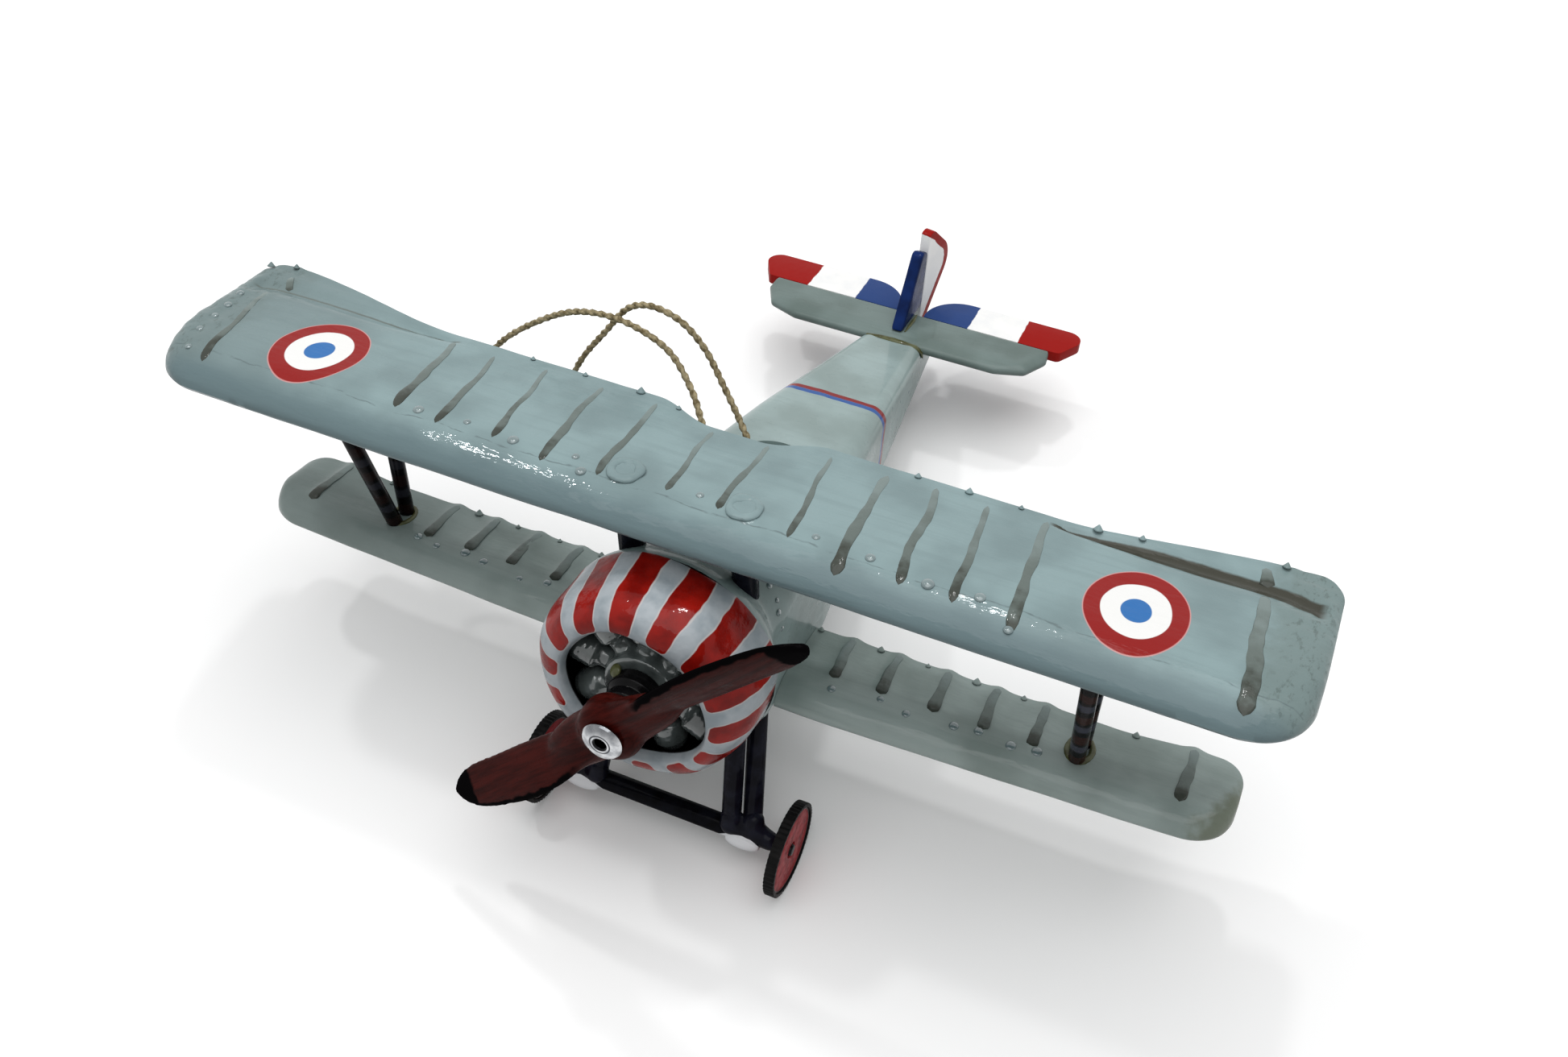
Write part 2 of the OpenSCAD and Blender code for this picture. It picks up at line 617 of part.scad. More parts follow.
// Cabane dowels from the fuselage up through the upper wing
module cabane(s) {
  color(navy) stance() side(s) rod(cabane_low, cabane_high, cabane_d);
}
module cabane_left() {
  cabane(1);
}
module cabane_right() {
  cabane(-1);
}

// Landing gear: legs coped over the bar, which is drilled through for the axle
module gear_leg(s, top, low) {
  color(navy) stance() side(s) difference() {
    rod(top, low, leg_d);
    bar_line(bar_d + 2 * fit);
    shoes(fit);
  }
}
module gear_front(s) {
  gear_leg(s, gear_front_top, gear_front_low);
}
module gear_rear(s) {
  gear_leg(s, gear_rear_top, gear_rear_low);
}
module gear_front_left() {
  gear_front(1);
}
module gear_front_right() {
  gear_front(-1);
}
module gear_rear_left() {
  gear_rear(1);
}
module gear_rear_right() {
  gear_rear(-1);
}
module spreader_bar() {
  color(navy) stance() difference() {
    union() {
      bar_line(bar_d);
      shoes(0);
    }
    axle_line(-track, track, axle_d + 2 * fit);
  }
}
module axle() {
  color(black) stance() union() {
    axle_line(-axle_end, axle_end, axle_d);
    for (s = [-1, 1]) side(s) axle_line(bar_x + fit, wheel_in - run_gap, axle_d + 1);
  }
}

// Wheels: a notched tyre on a flat disc, held by a cap sunk in the hub
tread_cut = 0.2;
face_in = 0.25;
cap_r = axle_d / 2 + 0.3;
module tyre(s) {
  n = 2 * tread_n;
  outline = [for (i = [0 : n - 1]) let(a = 360 * i / n, r = wheel_r - (i % 2) * tread_cut)
    [r * cos(a), r * sin(a)]];
  color(black) stance() side(s) translate([wheel_in, axle_y, axle_z]) rotate([0, 90, 0]) difference() {
    linear_extrude(wheel_w) polygon(outline);
    translate([0, 0, -1]) cylinder(h = wheel_w + 2, r = wheel_r - tyre_t);
  }
}
module wheel_disc(s) {
  r = wheel_r - tyre_t - fit / 2;
  bore = axle_d / 2 + run_fit;
  well = cap_r + run_gap;
  floor_x = wheel_w - cap_t - run_gap;
  color([0.66, 0.12, 0.14]) stance() side(s) translate([wheel_in, axle_y, axle_z]) rotate([0, 90, 0])
    rotate_extrude() polygon([[bore, 0], [well, 0], [well + 0.4, face_in], [r, face_in],
      [r, wheel_w - face_in], [well, wheel_w - face_in], [well, floor_x], [bore, floor_x]]);
}
module axle_cap(s) {
  color(black) stance() side(s) translate([wheel_out - cap_t, axle_y, axle_z]) rotate([0, 90, 0])
    cylinder(h = cap_t, r1 = cap_r, r2 = cap_r - 0.15);
}
module tyre_left() {
  tyre(1);
}
module tyre_right() {
  tyre(-1);
}
module wheel_disc_left() {
  wheel_disc(1);
}
module wheel_disc_right() {
  wheel_disc(-1);
}
module axle_cap_left() {
  axle_cap(1);
}
module axle_cap_right() {
  axle_cap(-1);
}

// Tail: a thick tailplane on the seat, elevators glued behind it, fin and rudder on top
stab_half = stab_span / 2;
stab_cut = 6.4;
stab_thick = 0.3 * stab_chord;
module stab_knob(x, y, d) {
  translate([x - d / 2, stab_le + y + d / 2, stab_z]) sphere(d = d, $fn = 20);
}
module tailplane() {
  rear_t = 0.86 * stab_t;
  color(paint_dark) stance() hull() for (s = [-1, 1]) side(s) {
    stab_knob(stab_half - stab_cut, 0, 0.75 * stab_t);
    stab_knob(stab_half - 0.31 * stab_cut, 0.26 * stab_cut, 0.68 * stab_t);
    stab_knob(stab_half, 0.9 * stab_cut, 0.6 * stab_t);
    translate([0, stab_le + stab_thick, stab_z - stab_t / 2]) cube([stab_half - stab_cut / 2, 0.4, stab_t]);
    translate([0, hinge_y - 0.4, stab_z - rear_t / 2]) cube([stab_half - 0.4, 0.4, rear_t]);
  }
}
module elevator(s) {
  inner = 2.3;
  inner_r = elev_chord - 0.9;
  tip = elev_span / 2;
  y0 = hinge_y + fit;
  back = hinge_y + elev_chord;
  tip_rear = 2.4;
  tip_front = 1.2;
  color("white") stance() side(s) translate([0, 0, stab_z - elev_t / 2]) linear_extrude(elev_t)
  intersection() {
    hull() {
      translate([inner + inner_r, back - inner_r]) circle(inner_r);
      translate([tip - tip_rear, back - tip_rear]) circle(tip_rear);
      translate([tip - 3, hinge_y + tip_front]) circle(tip_front);
    }
    translate([0, y0]) square([tip + 1, elev_chord + 1]);
  }
}
module elevator_left() {
  elevator(1);
}
module elevator_right() {
  elevator(-1);
}
module plate(t) {
  translate([-t / 2, 0, 0]) rotate([90, 0, 90]) linear_extrude(t) children();
}
module fin() {
  r = 1;
  color([0.10, 0.17, 0.40]) stance() plate(tail_fin_t) intersection() {
    hull() {
      translate([stab_le + 3, fin_base]) circle(r);
      translate([rudder_y - 2.4, fin_base + tail_fin_h - r]) circle(r);
      translate([rudder_y - 0.6 - fit, fin_base - 1]) square([0.6, tail_fin_h]);
    }
    translate([stab_le, fin_base]) square([30, tail_fin_h]);
  }
}
module rudder() {
  top = fin_base + rudder_h;
  rr = rudder_chord * 0.62;
  color("white") stance() translate([0, rudder_y, 0]) rotate([0, 0, -rudder_set]) plate(elev_t)
  intersection() {
    hull() {
      translate([1.4, top - 1.4]) circle(1.4);
      translate([rudder_chord - rr, lerp(rudder_low, top, 0.6)]) circle(rr);
      translate([1.6, rudder_low + 1]) circle(1);
      square([0.1, 6]);
    }
    translate([elev_t * tan(rudder_set), rudder_low]) square([20, top - rudder_low]);
  }
}

// Tail skid: a dowel under the tail, cut level on the ground
module tail_skid() {
  color(navy) intersection() {
    stance() rod(skid_top, skid_low, skid_d);
    translate([-10, -100, 0]) cube([20, 300, 60]);
  }
}

// Screw eye in the deck and the loop of twine through it
module screw_eye() {
  color([0.75, 0.68, 0.45]) stance() translate([0, eye_y, 0]) union() {
    translate([0, 0, eye_z]) along_y() rotate_extrude() translate([eye_d / 2, 0])
      circle(d = eye_wire, $fn = 24);
    translate([0, 0, deck(eye_y) - eye_shank])
      cylinder(h = eye_z - eye_d / 2 - deck(eye_y) + eye_shank, d = eye_wire);
  }
}
module twine_loop() {
  n = len(twine_line);
  k = twine_sides;
  points = [for (i = [0 : n - 1]) each twine_ring(i)];
  faces = [for (i = [0 : n - 1], j = [0 : k - 1])
    let(a = i * k + j, b = i * k + (j + 1) % k, d = ((i + 1) % n) * k + j, c = d - j + (j + 1) % k)
    each [[a, d, c], [a, c, b]]];
  color([0.55, 0.47, 0.32]) stance() polyhedron(points, faces, convexity = 8);
}

fuselage();
cowling();
engine();
crankcase_nose();
prop_rivet();
propeller();
upper_wing();
lower_wing_left();
lower_wing_right();
interplane_front_left();
interplane_front_right();
interplane_rear_left();
interplane_rear_right();
cabane_left();
cabane_right();
gear_front_left();
gear_front_right();
gear_rear_left();
gear_rear_right();
spreader_bar();
axle();
tyre_left();
tyre_right();
wheel_disc_left();
wheel_disc_right();
axle_cap_left();
axle_cap_right();
tailplane();
elevator_left();
elevator_right();
fin();
rudder();
tail_skid();
screw_eye();
twine_loop();
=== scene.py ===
import bpy
import bmesh
from math import cos, exp, hypot, pi, radians, sin, sqrt
from mathutils import Matrix, Vector, noise


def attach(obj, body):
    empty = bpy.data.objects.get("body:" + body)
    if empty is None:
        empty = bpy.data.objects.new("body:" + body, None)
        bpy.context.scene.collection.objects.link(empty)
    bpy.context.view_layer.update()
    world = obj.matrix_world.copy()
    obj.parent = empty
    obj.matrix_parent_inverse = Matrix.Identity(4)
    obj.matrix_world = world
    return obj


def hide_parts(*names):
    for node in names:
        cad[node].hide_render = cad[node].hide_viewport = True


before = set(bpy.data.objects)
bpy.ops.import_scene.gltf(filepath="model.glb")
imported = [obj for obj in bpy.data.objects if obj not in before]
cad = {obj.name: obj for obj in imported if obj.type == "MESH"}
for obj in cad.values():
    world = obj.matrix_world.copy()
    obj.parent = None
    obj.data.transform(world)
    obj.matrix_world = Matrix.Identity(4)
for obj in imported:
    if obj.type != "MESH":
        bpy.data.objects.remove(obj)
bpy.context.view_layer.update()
scene = bpy.context.scene
print("frame loaded with", len(cad), "nodes")

# drawing board: x to the left wing, y back from the cowl opening, z up from the thrust line, in mm
board = {"tilt": radians(12), "midY": 48.1, "lift": 36.463}
tiltCos, tiltSin = cos(board["tilt"]), sin(board["tilt"])


def toPart(x, y, z):  # a point on the drawing board, in the part's own frame and metres
    return Vector((x, y * tiltCos + z * tiltSin - board["midY"], -y * tiltSin + z * tiltCos + board["lift"])) / 1000


def toBoard(p):  # and the other way
    y, z = p.y * 1000 + board["midY"], p.z * 1000 - board["lift"]
    return p.x * 1000, y * tiltCos - z * tiltSin, y * tiltSin + z * tiltCos


def mixed(a, b, t):
    return a + (b - a) * t


def clamp01(t):
    return min(1, max(0, t))


def smooth(t):
    t = clamp01(t)
    return t * t * (3 - 2 * t)


def wave(x, y, z, scale=1):  # smooth chance, the same on every run
    return noise.noise(Vector((x, y, z)) * scale)


def turns(count):  # angles all round a circle
    return [2 * pi * i / count for i in range(count)]


def ovalAt(x, y, rx, ry, count):
    return [(x + rx * cos(a), y + ry * sin(a)) for a in turns(count)]


def linked(name, data):
    piece = bpy.data.objects.new(name, data)
    scene.collection.objects.link(piece)
    return piece


# camera, at the place the photograph was taken from
view = {"place": (62.20, -136.21, 196.39), "lens": 36.023, "sensor": 36, "near": 0.005,
        "right": (0.916205, 0.400066, -0.022723), "up": (-0.295801, 0.713499, 0.635154),
        "back": (0.270317, -0.57521, 0.772051)}
cameraData = bpy.data.cameras.new("photoCamera")
cameraData.lens = view["lens"]
cameraData.sensor_width = view["sensor"]
cameraData.clip_start = view["near"]
scene.camera = linked("photoCamera", cameraData)
aim = Matrix((view["right"], view["up"], view["back"])).transposed().to_4x4()
scene.camera.matrix_world = Matrix.Translation(Vector(view["place"]) / 1000) @ aim
print("camera placed")


# node desk: small helpers that lay out nodes
def tone(r, g, b):  # a screen colour of 0 to 255 as the shader wants it
    def one(c):
        c /= 255
        return c / 12.92 if c <= 0.04045 else ((c + 0.055) / 1.055) ** 2.4
    return (one(r), one(g), one(b), 1)


def addNode(tree, kind, inputs=None, **props):
    made = tree.nodes.new(kind)
    for key, value in props.items():
        setattr(made, key, value)
    for key, value in (inputs or {}).items():
        if isinstance(value, Value):
            tree.links.new(value.socket, made.inputs[key])
        else:
            made.inputs[key].default_value = value
    return made


def put(tree, kind, inputs=None, which=0, **props):  # what a new node gives out
    return Value(addNode(tree, kind, inputs, **props).outputs[which])


def operation(how):
    return lambda self, *others: self.math(how, *others)


class Value:  # a node's output, on which plain arithmetic lays math nodes
    __add__, __sub__, __mul__ = operation("ADD"), operation("SUBTRACT"), operation("MULTIPLY")
    __truediv__, __pow__, __abs__ = operation("DIVIDE"), operation("POWER"), operation("ABSOLUTE")

    def __init__(self, socket):
        self.socket, self.tree = socket, socket.id_data

    def __rsub__(self, other):
        return self.math("MULTIPLY_ADD", -1, other)

    def math(self, how, *others):
        return put(self.tree, "ShaderNodeMath", dict(enumerate((self,) + others)), operation=how)

    def share(self, low, high, toLow=0, toHigh=1, how="LINEAR"):  # a run from one range to another
        return put(self.tree, "ShaderNodeMapRange", {"Value": self, "From Min": low, "From Max": high,
                   "To Min": toLow, "To Max": toHigh}, interpolation_type=how, clamp=True)

    def ramp(self, low, high):  # 0 below low, 1 above high, smooth between
        return self.share(low, high, how="SMOOTHSTEP")

    def band(self, low, high, soft):  # 1 between two values, soft at both edges
        return self.ramp(low - soft, low + soft) * (1 - self.ramp(high - soft, high + soft))

    def mix(self, a, b):  # colour a where this is 0 and b where it is 1
        a, b = (c if isinstance(c, Value) else tone(*c) for c in (a, b))
        return put(self.tree, "ShaderNodeMix", {0: self, 6: a, 7: b}, 2, data_type="RGBA", clamp_factor=True)


def lengthOf(a, b):
    return (a * a + b * b).math("SQRT")


class Finish:  # one material with the drawing board's coordinates laid on it
    def __init__(self, name, specular=0.5, coat=0, coatRough=0.03, metal=0):
        self.material = bpy.data.materials.new(name)
        self.material.use_nodes = True
        self.tree = self.material.node_tree
        self.shader = self.tree.nodes["Principled BSDF"]
        values = {"Specular IOR Level": specular, "Coat Weight": coat, "Coat Roughness": coatRough, "Metallic": metal}
        for label, value in values.items():
            self.shader.inputs[label].default_value = value
        coords = put(self.tree, "ShaderNodeTexCoord", which="Object")
        self.where = put(self.tree, "ShaderNodeMapping", {"Vector": coords, "Location": toBoard(Vector()),
                         "Rotation": (board["tilt"], 0, 0), "Scale": (1000, 1000, 1000)}, vector_type="POINT")
        parts = addNode(self.tree, "ShaderNodeSeparateXYZ", {0: self.where})
        self.x, self.y, self.z = (Value(part) for part in parts.outputs)
        self.ax = abs(self.x)

    def speckle(self, scale, detail=3, rough=0.5, where=None):  # three scales stretch it
        where = where or self.where
        if isinstance(scale, tuple):
            where = put(self.tree, "ShaderNodeMapping", {"Vector": where, "Scale": scale}, vector_type="POINT")
            scale = 1
        return put(self.tree, "ShaderNodeTexNoise",
                   {"Vector": where, "Scale": scale, "Detail": detail, "Roughness": rough}, "Fac")

    def field(self, label):  # a value kept on the mesh's points
        return put(self.tree, "ShaderNodeAttribute", None, "Fac", attribute_name=label)

    def link(self, value, *names):
        for name in names:
            self.tree.links.new(value.socket, self.shader.inputs[name])

    def layer(self, mask, ink):  # one more colour over the last, where the mask is 1
        self.base = mask.mix(self.base, ink)
        self.link(self.base, "Base Color")

    def rough(self, low, high, scale):
        self.link(self.speckle(scale, 2).share(0.3, 0.7, low, high), "Roughness")

    def bump(self, height, strength, distance):
        made = put(self.tree, "ShaderNodeBump", {"Height": height, "Strength": strength, "Distance": distance})
        self.link(made, "Normal", "Coat Normal")


# mesh bench
def keepPiece(name, mesh, finish, slot, *nodes, body="airframe"):
    piece = linked(name, mesh)
    mesh.materials.clear()
    mesh.materials.append(finish.material)
    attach(piece, body)
    if nodes:
        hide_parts(*nodes)
    return piece


def softShade(mesh, angle):
    mesh.shade_smooth()
    mesh.set_sharp_from_angle(angle=radians(angle))
    return mesh


def worked(mesh, job):  # a mesh after a job at the bench
    bench = bmesh.new()
    bench.from_mesh(mesh)
    job(bench)
    bench.to_mesh(mesh)
    bench.free()
    return mesh


def closeUp(bench):  # merges points that meet and turns the faces outwards
    bmesh.ops.remove_doubles(bench, verts=bench.verts, dist=1e-7)
    bmesh.ops.recalc_face_normals(bench, faces=bench.faces)


def closedMesh(name, points, faces):
    mesh = bpy.data.meshes.new(name)
    mesh.from_pydata([toPart(*p) for p in points], [], faces)
    return worked(mesh, closeUp)


def ringFaces(rings, count, wrap=False, base=0):  # quads from each ring of points to the next
    faces = []
    for i in range(rings if wrap else rings - 1):
        a, b = base + i * count, base + (i + 1) % rings * count
        faces += [(a + j, a + (j + 1) % count, b + (j + 1) % count, b + j) for j in range(count)]
    return faces


def skinMesh(name, rings, angle, pairCaps=False):  # a closed skin over a stack of rings of board points
    count = len(rings[0])
    half = count // 2
    faces = ringFaces(len(rings), count)
    for base in (0, (len(rings) - 1) * count):
        if pairCaps:  # upper and lower points of a wing section face each other
            faces.append((base + half - 1, base + half, base + half + 1))
            faces += [(base + i, base + i + 1, base + count - 2 - i, base + count - 1 - i) for i in range(half - 1)]
        else:
            faces.append(tuple(range(base, base + count)))
    return softShade(closedMesh(name, [p for ring in rings for p in ring], faces), angle)


def copyNode(node, angle=35, bevel=0, segments=2):  # a merged copy of a CAD node, its edges eased
    def ease(bench):
        bmesh.ops.remove_doubles(bench, verts=bench.verts, dist=1e-6)
        bmesh.ops.dissolve_limit(bench, angle_limit=radians(1), verts=bench.verts, edges=bench.edges)
        if bevel:
            sharp = [e for e in bench.edges if len(e.link_faces) == 2 and e.calc_face_angle() > radians(angle)]
            bmesh.ops.bevel(bench, geom=sharp, offset=bevel / 1000, segments=segments, profile=0.5,
                            affect="EDGES", clamp_overlap=True)
    return softShade(worked(cad[node].data.copy(), ease), angle + 5)


def dress(name, node, finish, slot, bevel=0.1, angle=35, segments=2):  # keeps a node's own shape
    keepPiece(name, copyNode(node, angle, bevel, segments), finish, slot, node)


def finishMesh(piece):  # what the modifiers make of a piece, as a plain mesh
    bpy.context.view_layer.update()
    made = bpy.data.meshes.new_from_object(piece.evaluated_get(bpy.context.evaluated_depsgraph_get()))
    bpy.data.objects.remove(piece)
    return made


def smoothOver(piece, rounds, group=""):
    ease = piece.modifiers.new("ease", "SMOOTH")
    ease.factor = 0.5
    ease.iterations = rounds
    ease.vertex_group = group


def softened(mesh, settings):  # a shape under thick paint: remeshed evenly and eased
    lump = linked("lump", mesh)
    even = lump.modifiers.new("even", "REMESH")
    even.mode = "VOXEL"
    even.voxel_size = settings["voxel"] / 1000
    smoothOver(lump, settings["rounds"])
    made = finishMesh(lump)
    made.shade_smooth()
    return made


def setField(mesh, label, values, kind="FLOAT"):  # a named value on each point
    mesh.attributes.new(label, kind, "POINT").data.foreach_set("value" if kind == "FLOAT" else "vector", values)


# finishes shared by several pieces
thickGloss = {"specular": 0.03, "coat": 0.3, "coatRough": 0.05}
darkGloss = {"specular": 0.02, "coat": 0.07, "coatRough": 0.05}
boardGloss = {"specular": 0.03, "coat": 0.06, "coatRough": 0.1}


def paintFinish(name, light, dark, dents=0.18):  # thick glossy brushed paint
    finish = Finish(name, **thickGloss)
    cloud = finish.speckle(0.09).ramp(0.36, 0.68)
    streak = finish.speckle((0.05, 0.9, 0.9), 3, 0.6).ramp(0.45, 0.75)
    finish.base = cloud.mix(light, dark)
    finish.layer(streak * 0.35, dark)
    finish.rough(0.24, 0.4, 0.5)
    finish.bump(finish.speckle((0.25, 0.9, 0.9), 3, 0.55), dents, 0.0006)
    return finish


def plainFinish(name, light, dark, scale, rough, dents=0.06, **gloss):  # even paint, plastic or metal
    finish = Finish(name, **gloss)
    finish.base = light
    finish.layer(finish.speckle(scale).ramp(0.35, 0.7), dark)
    finish.rough(*rough, scale * 2)
    finish.bump(finish.speckle(scale * 3), dents, 0.0004)
    return finish


# wing sections, the same rule as the solids
section = {"noseU": 0.22, "droopU": 0.36, "droop": 0.4, "edge": 1.1, "even": 0.45}


def droop(u, t):
    return -section["droop"] * t * (1 - u / section["droopU"]) ** 2 if u < section["droopU"] else 0


def halfThick(u, t):
    if u < section["noseU"]:
        return t / 2 * sqrt(max(0, 1 - (1 - u / section["noseU"]) ** 2))
    return mixed(t / 2, section["edge"] / 2, (u - section["noseU"]) / (1 - section["noseU"]))


def roundIn(x, end, r):
    s = clamp01((x - end + r) / r)
    return r * (1 - sqrt(max(0, 1 - s * s)))


def edgeThin(x, end, r):
    s = clamp01((x - end + r) / r)
    return sqrt(1 - 0.97 * s * s)


upper = {"half": 75, "chord": 24.1, "thick": 4, "front": 5.6, "z": 21.4, "tipR": 8, "corner": 3.6, "gap": 0.55, "count": 46,
         "sweep": 0, "sweepFrom": 0, "sweepRun": 1, "flare": 4.2, "flareFrom": 41, "flareRun": 30.4, "cutL": 2.8, "cutW": 24,
         "thin": 2.6, "hingeX": 41, "hinge": 28.25, "hingeEnd": 73}
lower = {"half": 71.5, "chord": 14.6, "thick": 3.2, "front": 16.6, "z": -10.2, "tipR": 6, "corner": 3.6, "gap": 0.55,
         "count": 34, "sweep": 2, "sweepFrom": 20, "sweepRun": 47.5, "flare": 1, "flareFrom": 54, "flareRun": 12, "cutL": 0,
         "cutW": 1, "thin": 2.2, "root": 11.85}
grain = {"big": 0.10, "bigScale": 0.11, "small": 0.035, "smallScale": 0.42, "skinGap": 9}
bosses = {"x": 7.8, "y": 12.4, "r": 1.75, "soft": 0.45, "rise": 0.3, "ring": 0.22, "beadR": 1.75, "bead": 0.6, "sink": 0.12,
          "steps": 28, "values": {"Flatness": 0.55, "Sides": 12}}
groove = {"depth": 0.75, "narrow": 0.4, "wide": 1.65, "rise": 0.45, "turn": 1.4, "bend": 8, "sway": 0.12, "step": 0.2}
tipWear = {"from": 68, "rise": 0.2, "scale": 0.75, "paint": (68.5, 72.5), "dabs": (71, 74)}
lowerRibs = {"x": (17.7, 24.4, 31.4, 38.4, 45.0, 64.5), "from": 22, "rise": 0.5, "wide": 1.1}


def frontAt(wing, x):
    sweep = wing["sweep"] * clamp01((abs(x) - wing["sweepFrom"]) / wing["sweepRun"])
    return wing["front"] + sweep + roundIn(abs(x), wing["half"], wing["tipR"])


def rearAt(wing, x):
    flare = wing["flare"] * smooth((abs(x) - wing["flareFrom"]) / wing["flareRun"])
    notch = wing["cutL"] * smooth(1.4 - abs(x) * 2.8 / wing["cutW"])
    return wing["front"] + wing["chord"] + flare - notch - roundIn(abs(x), wing["half"], wing["corner"])


def unevenness(x, y, z):
    return grain["big"] * wave(x, y, z, grain["bigScale"]) + grain["small"] * wave(x, y, z, grain["smallScale"])


def upperRelief(x, y):  # carved hinge line and painted-over dowel ends on the top skin
    a, soft = abs(x), bosses["soft"]
    far = hypot(a - bosses["x"], y - bosses["y"]) - bosses["r"]
    rise = bosses["rise"] * smooth((soft - far) / (2 * soft)) + bosses["ring"] * exp(-(far / soft) ** 2)
    along = clamp01((a - upper["hingeX"]) / (upper["hingeEnd"] - upper["hingeX"]))
    lineY = upper["hinge"] + groove["rise"] * along - groove["turn"] * along ** groove["bend"]
    lineY += groove["sway"] * wave(x * 0.2, 3, 0)
    reach = smooth((a - upper["hingeX"] + 0.6) / 3) * smooth((upper["hingeEnd"] + 0.8 - a) / 1.6)
    off = (y - lineY) / mixed(groove["narrow"], groove["wide"], smooth(along * 2))
    flap = groove["step"] * smooth(off + 0.5) * smooth((rearAt(upper, x) - y) / 1.2)
    worn = tipWear["rise"] * wave(x, y, 7, tipWear["scale"]) * smooth((a - tipWear["from"]) / 1.5)
    return rise + worn - reach * (groove["depth"] * exp(-off * off) + flap)


def lowerRelief(x, y):  # the ridges under the rib strokes
    near = min(abs(abs(x) - r) for r in lowerRibs["x"])
    return lowerRibs["rise"] * exp(-(near / lowerRibs["wide"]) ** 2) * smooth((y - lowerRibs["from"] + 1) / 2.5)


def topAt(wing, x, y):  # height of the plain section
    u = clamp01((y - frontAt(wing, x)) / (rearAt(wing, x) - frontAt(wing, x)))
    return wing["z"] + droop(u, wing["thick"]) + halfThick(u, wing["thick"])


def upperSkin(x, y):
    return topAt(upper, x, y) + upperRelief(x, y) + unevenness(x, y, upper["z"] + grain["skinGap"])


def lowerSkin(x, y):
    return topAt(lower, x, y) + lowerRelief(x, y)


def sectionRing(wing, x, relief):  # over the top from the rear to the nose, and back underneath
    count, thick, ring = wing["count"], wing["thick"], []
    front, rear, thin = frontAt(wing, x), rearAt(wing, x), edgeThin(abs(x), wing["half"], wing["thin"])
    for i in list(range(count, -1, -1)) + list(range(-1, -count - 1, -1)):
        u = mixed((1 - cos(pi * abs(i) / count)) / 2, abs(i) / count, section["even"])
        side = 1 if i >= 0 else -1
        y = mixed(front, rear, u)
        h = halfThick(u, thick) * thin
        lift = unevenness(x, y, wing["z"] + side * grain["skinGap"]) * min(1, h * 2)
        if side > 0 and u > 0.02:
            lift += relief(x, y)
        ring.append((x, y, wing["z"] + droop(u, thick) + side * (h + lift)))
    return ring


def stations(low, wing):  # even stations with finer ones round the tip
    high, tip = wing["half"], wing["tipR"]
    count = max(2, round((high - tip - low) / wing["gap"]))
    line = [mixed(low, high - tip, i / count) for i in range(count + 1)]
    return line + [high - tip * (1 - sin(radians(a))) for a in range(4, 91, 4)]


def wingMesh(name, wing, line, relief):
    return skinMesh(name, [sectionRing(wing, x, relief) for x in line], 50, True)


# Geometry Nodes: painted strokes along a path, and beads set on points
def newTree(name, sockets):
    tree = bpy.data.node_groups.new(name, "GeometryNodeTree")
    for label, kind in [("Geometry", "Geometry")] + sockets + [("Finish", "Material")]:
        tree.interface.new_socket(label, in_out="INPUT", socket_type="NodeSocket" + kind)
    tree.interface.new_socket("Geometry", in_out="OUTPUT", socket_type="NodeSocketGeometry")
    return tree, {socket.name: Value(socket) for socket in tree.nodes.new("NodeGroupInput").outputs}


def endTree(tree, shape, finish):
    smoothed = put(tree, "GeometryNodeSetShadeSmooth", {"Geometry": shape})
    real = put(tree, "GeometryNodeRealizeInstances", {"Geometry": smoothed})
    painted = put(tree, "GeometryNodeSetMaterial", {"Geometry": real, "Material": finish})
    addNode(tree, "NodeGroupOutput", {0: painted})
    return tree


def named(tree, label, kind="FLOAT"):
    return put(tree, "GeometryNodeInputNamedAttribute", {"Name": label}, "Attribute", data_type=kind)


def strokeTree():  # a low rounded stroke of paint along each path, as wide as its girth
    tree, given = newTree("paintStroke", [("Flatness", "Float"), ("Sides", "Int")])
    path = put(tree, "GeometryNodeMeshToCurve", {"Mesh": given["Geometry"]})
    upright = put(tree, "GeometryNodeSetCurveNormal", {"Curve": path}, mode="Z_UP")
    circle = put(tree, "GeometryNodeCurvePrimitiveCircle", {"Resolution": given["Sides"], "Radius": 1})
    scale = put(tree, "ShaderNodeCombineXYZ", {0: 1, 1: given["Flatness"], 2: 1})
    profile = put(tree, "GeometryNodeTransform", {"Geometry": circle, "Scale": scale})
    sweep = put(tree, "GeometryNodeCurveToMesh", {"Curve": upright, "Profile Curve": profile,
                "Scale": named(tree, "girth"), "Fill Caps": True})
    return endTree(tree, sweep, given["Finish"])


def beadTree(name, kind, shapeValues):  # a shape on each point, standing along its lean
    tree, given = newTree(name, [("Width", "Float"), ("Height", "Float"), ("Unevenness", "Float"), ("Seed", "Int")])
    shape = put(tree, kind, shapeValues)
    stand = put(tree, "FunctionNodeAlignRotationToVector", {"Vector": named(tree, "lean", "FLOAT_VECTOR")}, axis="Z")
    uneven = given["Unevenness"]
    chance = put(tree, "FunctionNodeRandomValue", {2: 1 - uneven, 3: uneven + 1, "Seed": given["Seed"]}, 1, data_type="FLOAT")
    size = chance * named(tree, "girth")
    wide = size * given["Width"]
    scale = put(tree, "ShaderNodeCombineXYZ", {0: wide, 1: wide, 2: size * given["Height"]})
    beads = put(tree, "GeometryNodeInstanceOnPoints", {"Points": given["Geometry"], "Instance": shape,
                "Rotation": stand, "Scale": scale})
    return endTree(tree, beads, given["Finish"])


strokes = strokeTree()
drops = beadTree("paintDrop", "GeometryNodeMeshIcoSphere", {"Radius": 1, "Subdivisions": 3})
spikes = beadTree("paintSpike", "GeometryNodeMeshCone", {"Vertices": 10, "Side Segments": 4, "Radius Top": 0.12,
                  "Radius Bottom": 1, "Depth": 1})


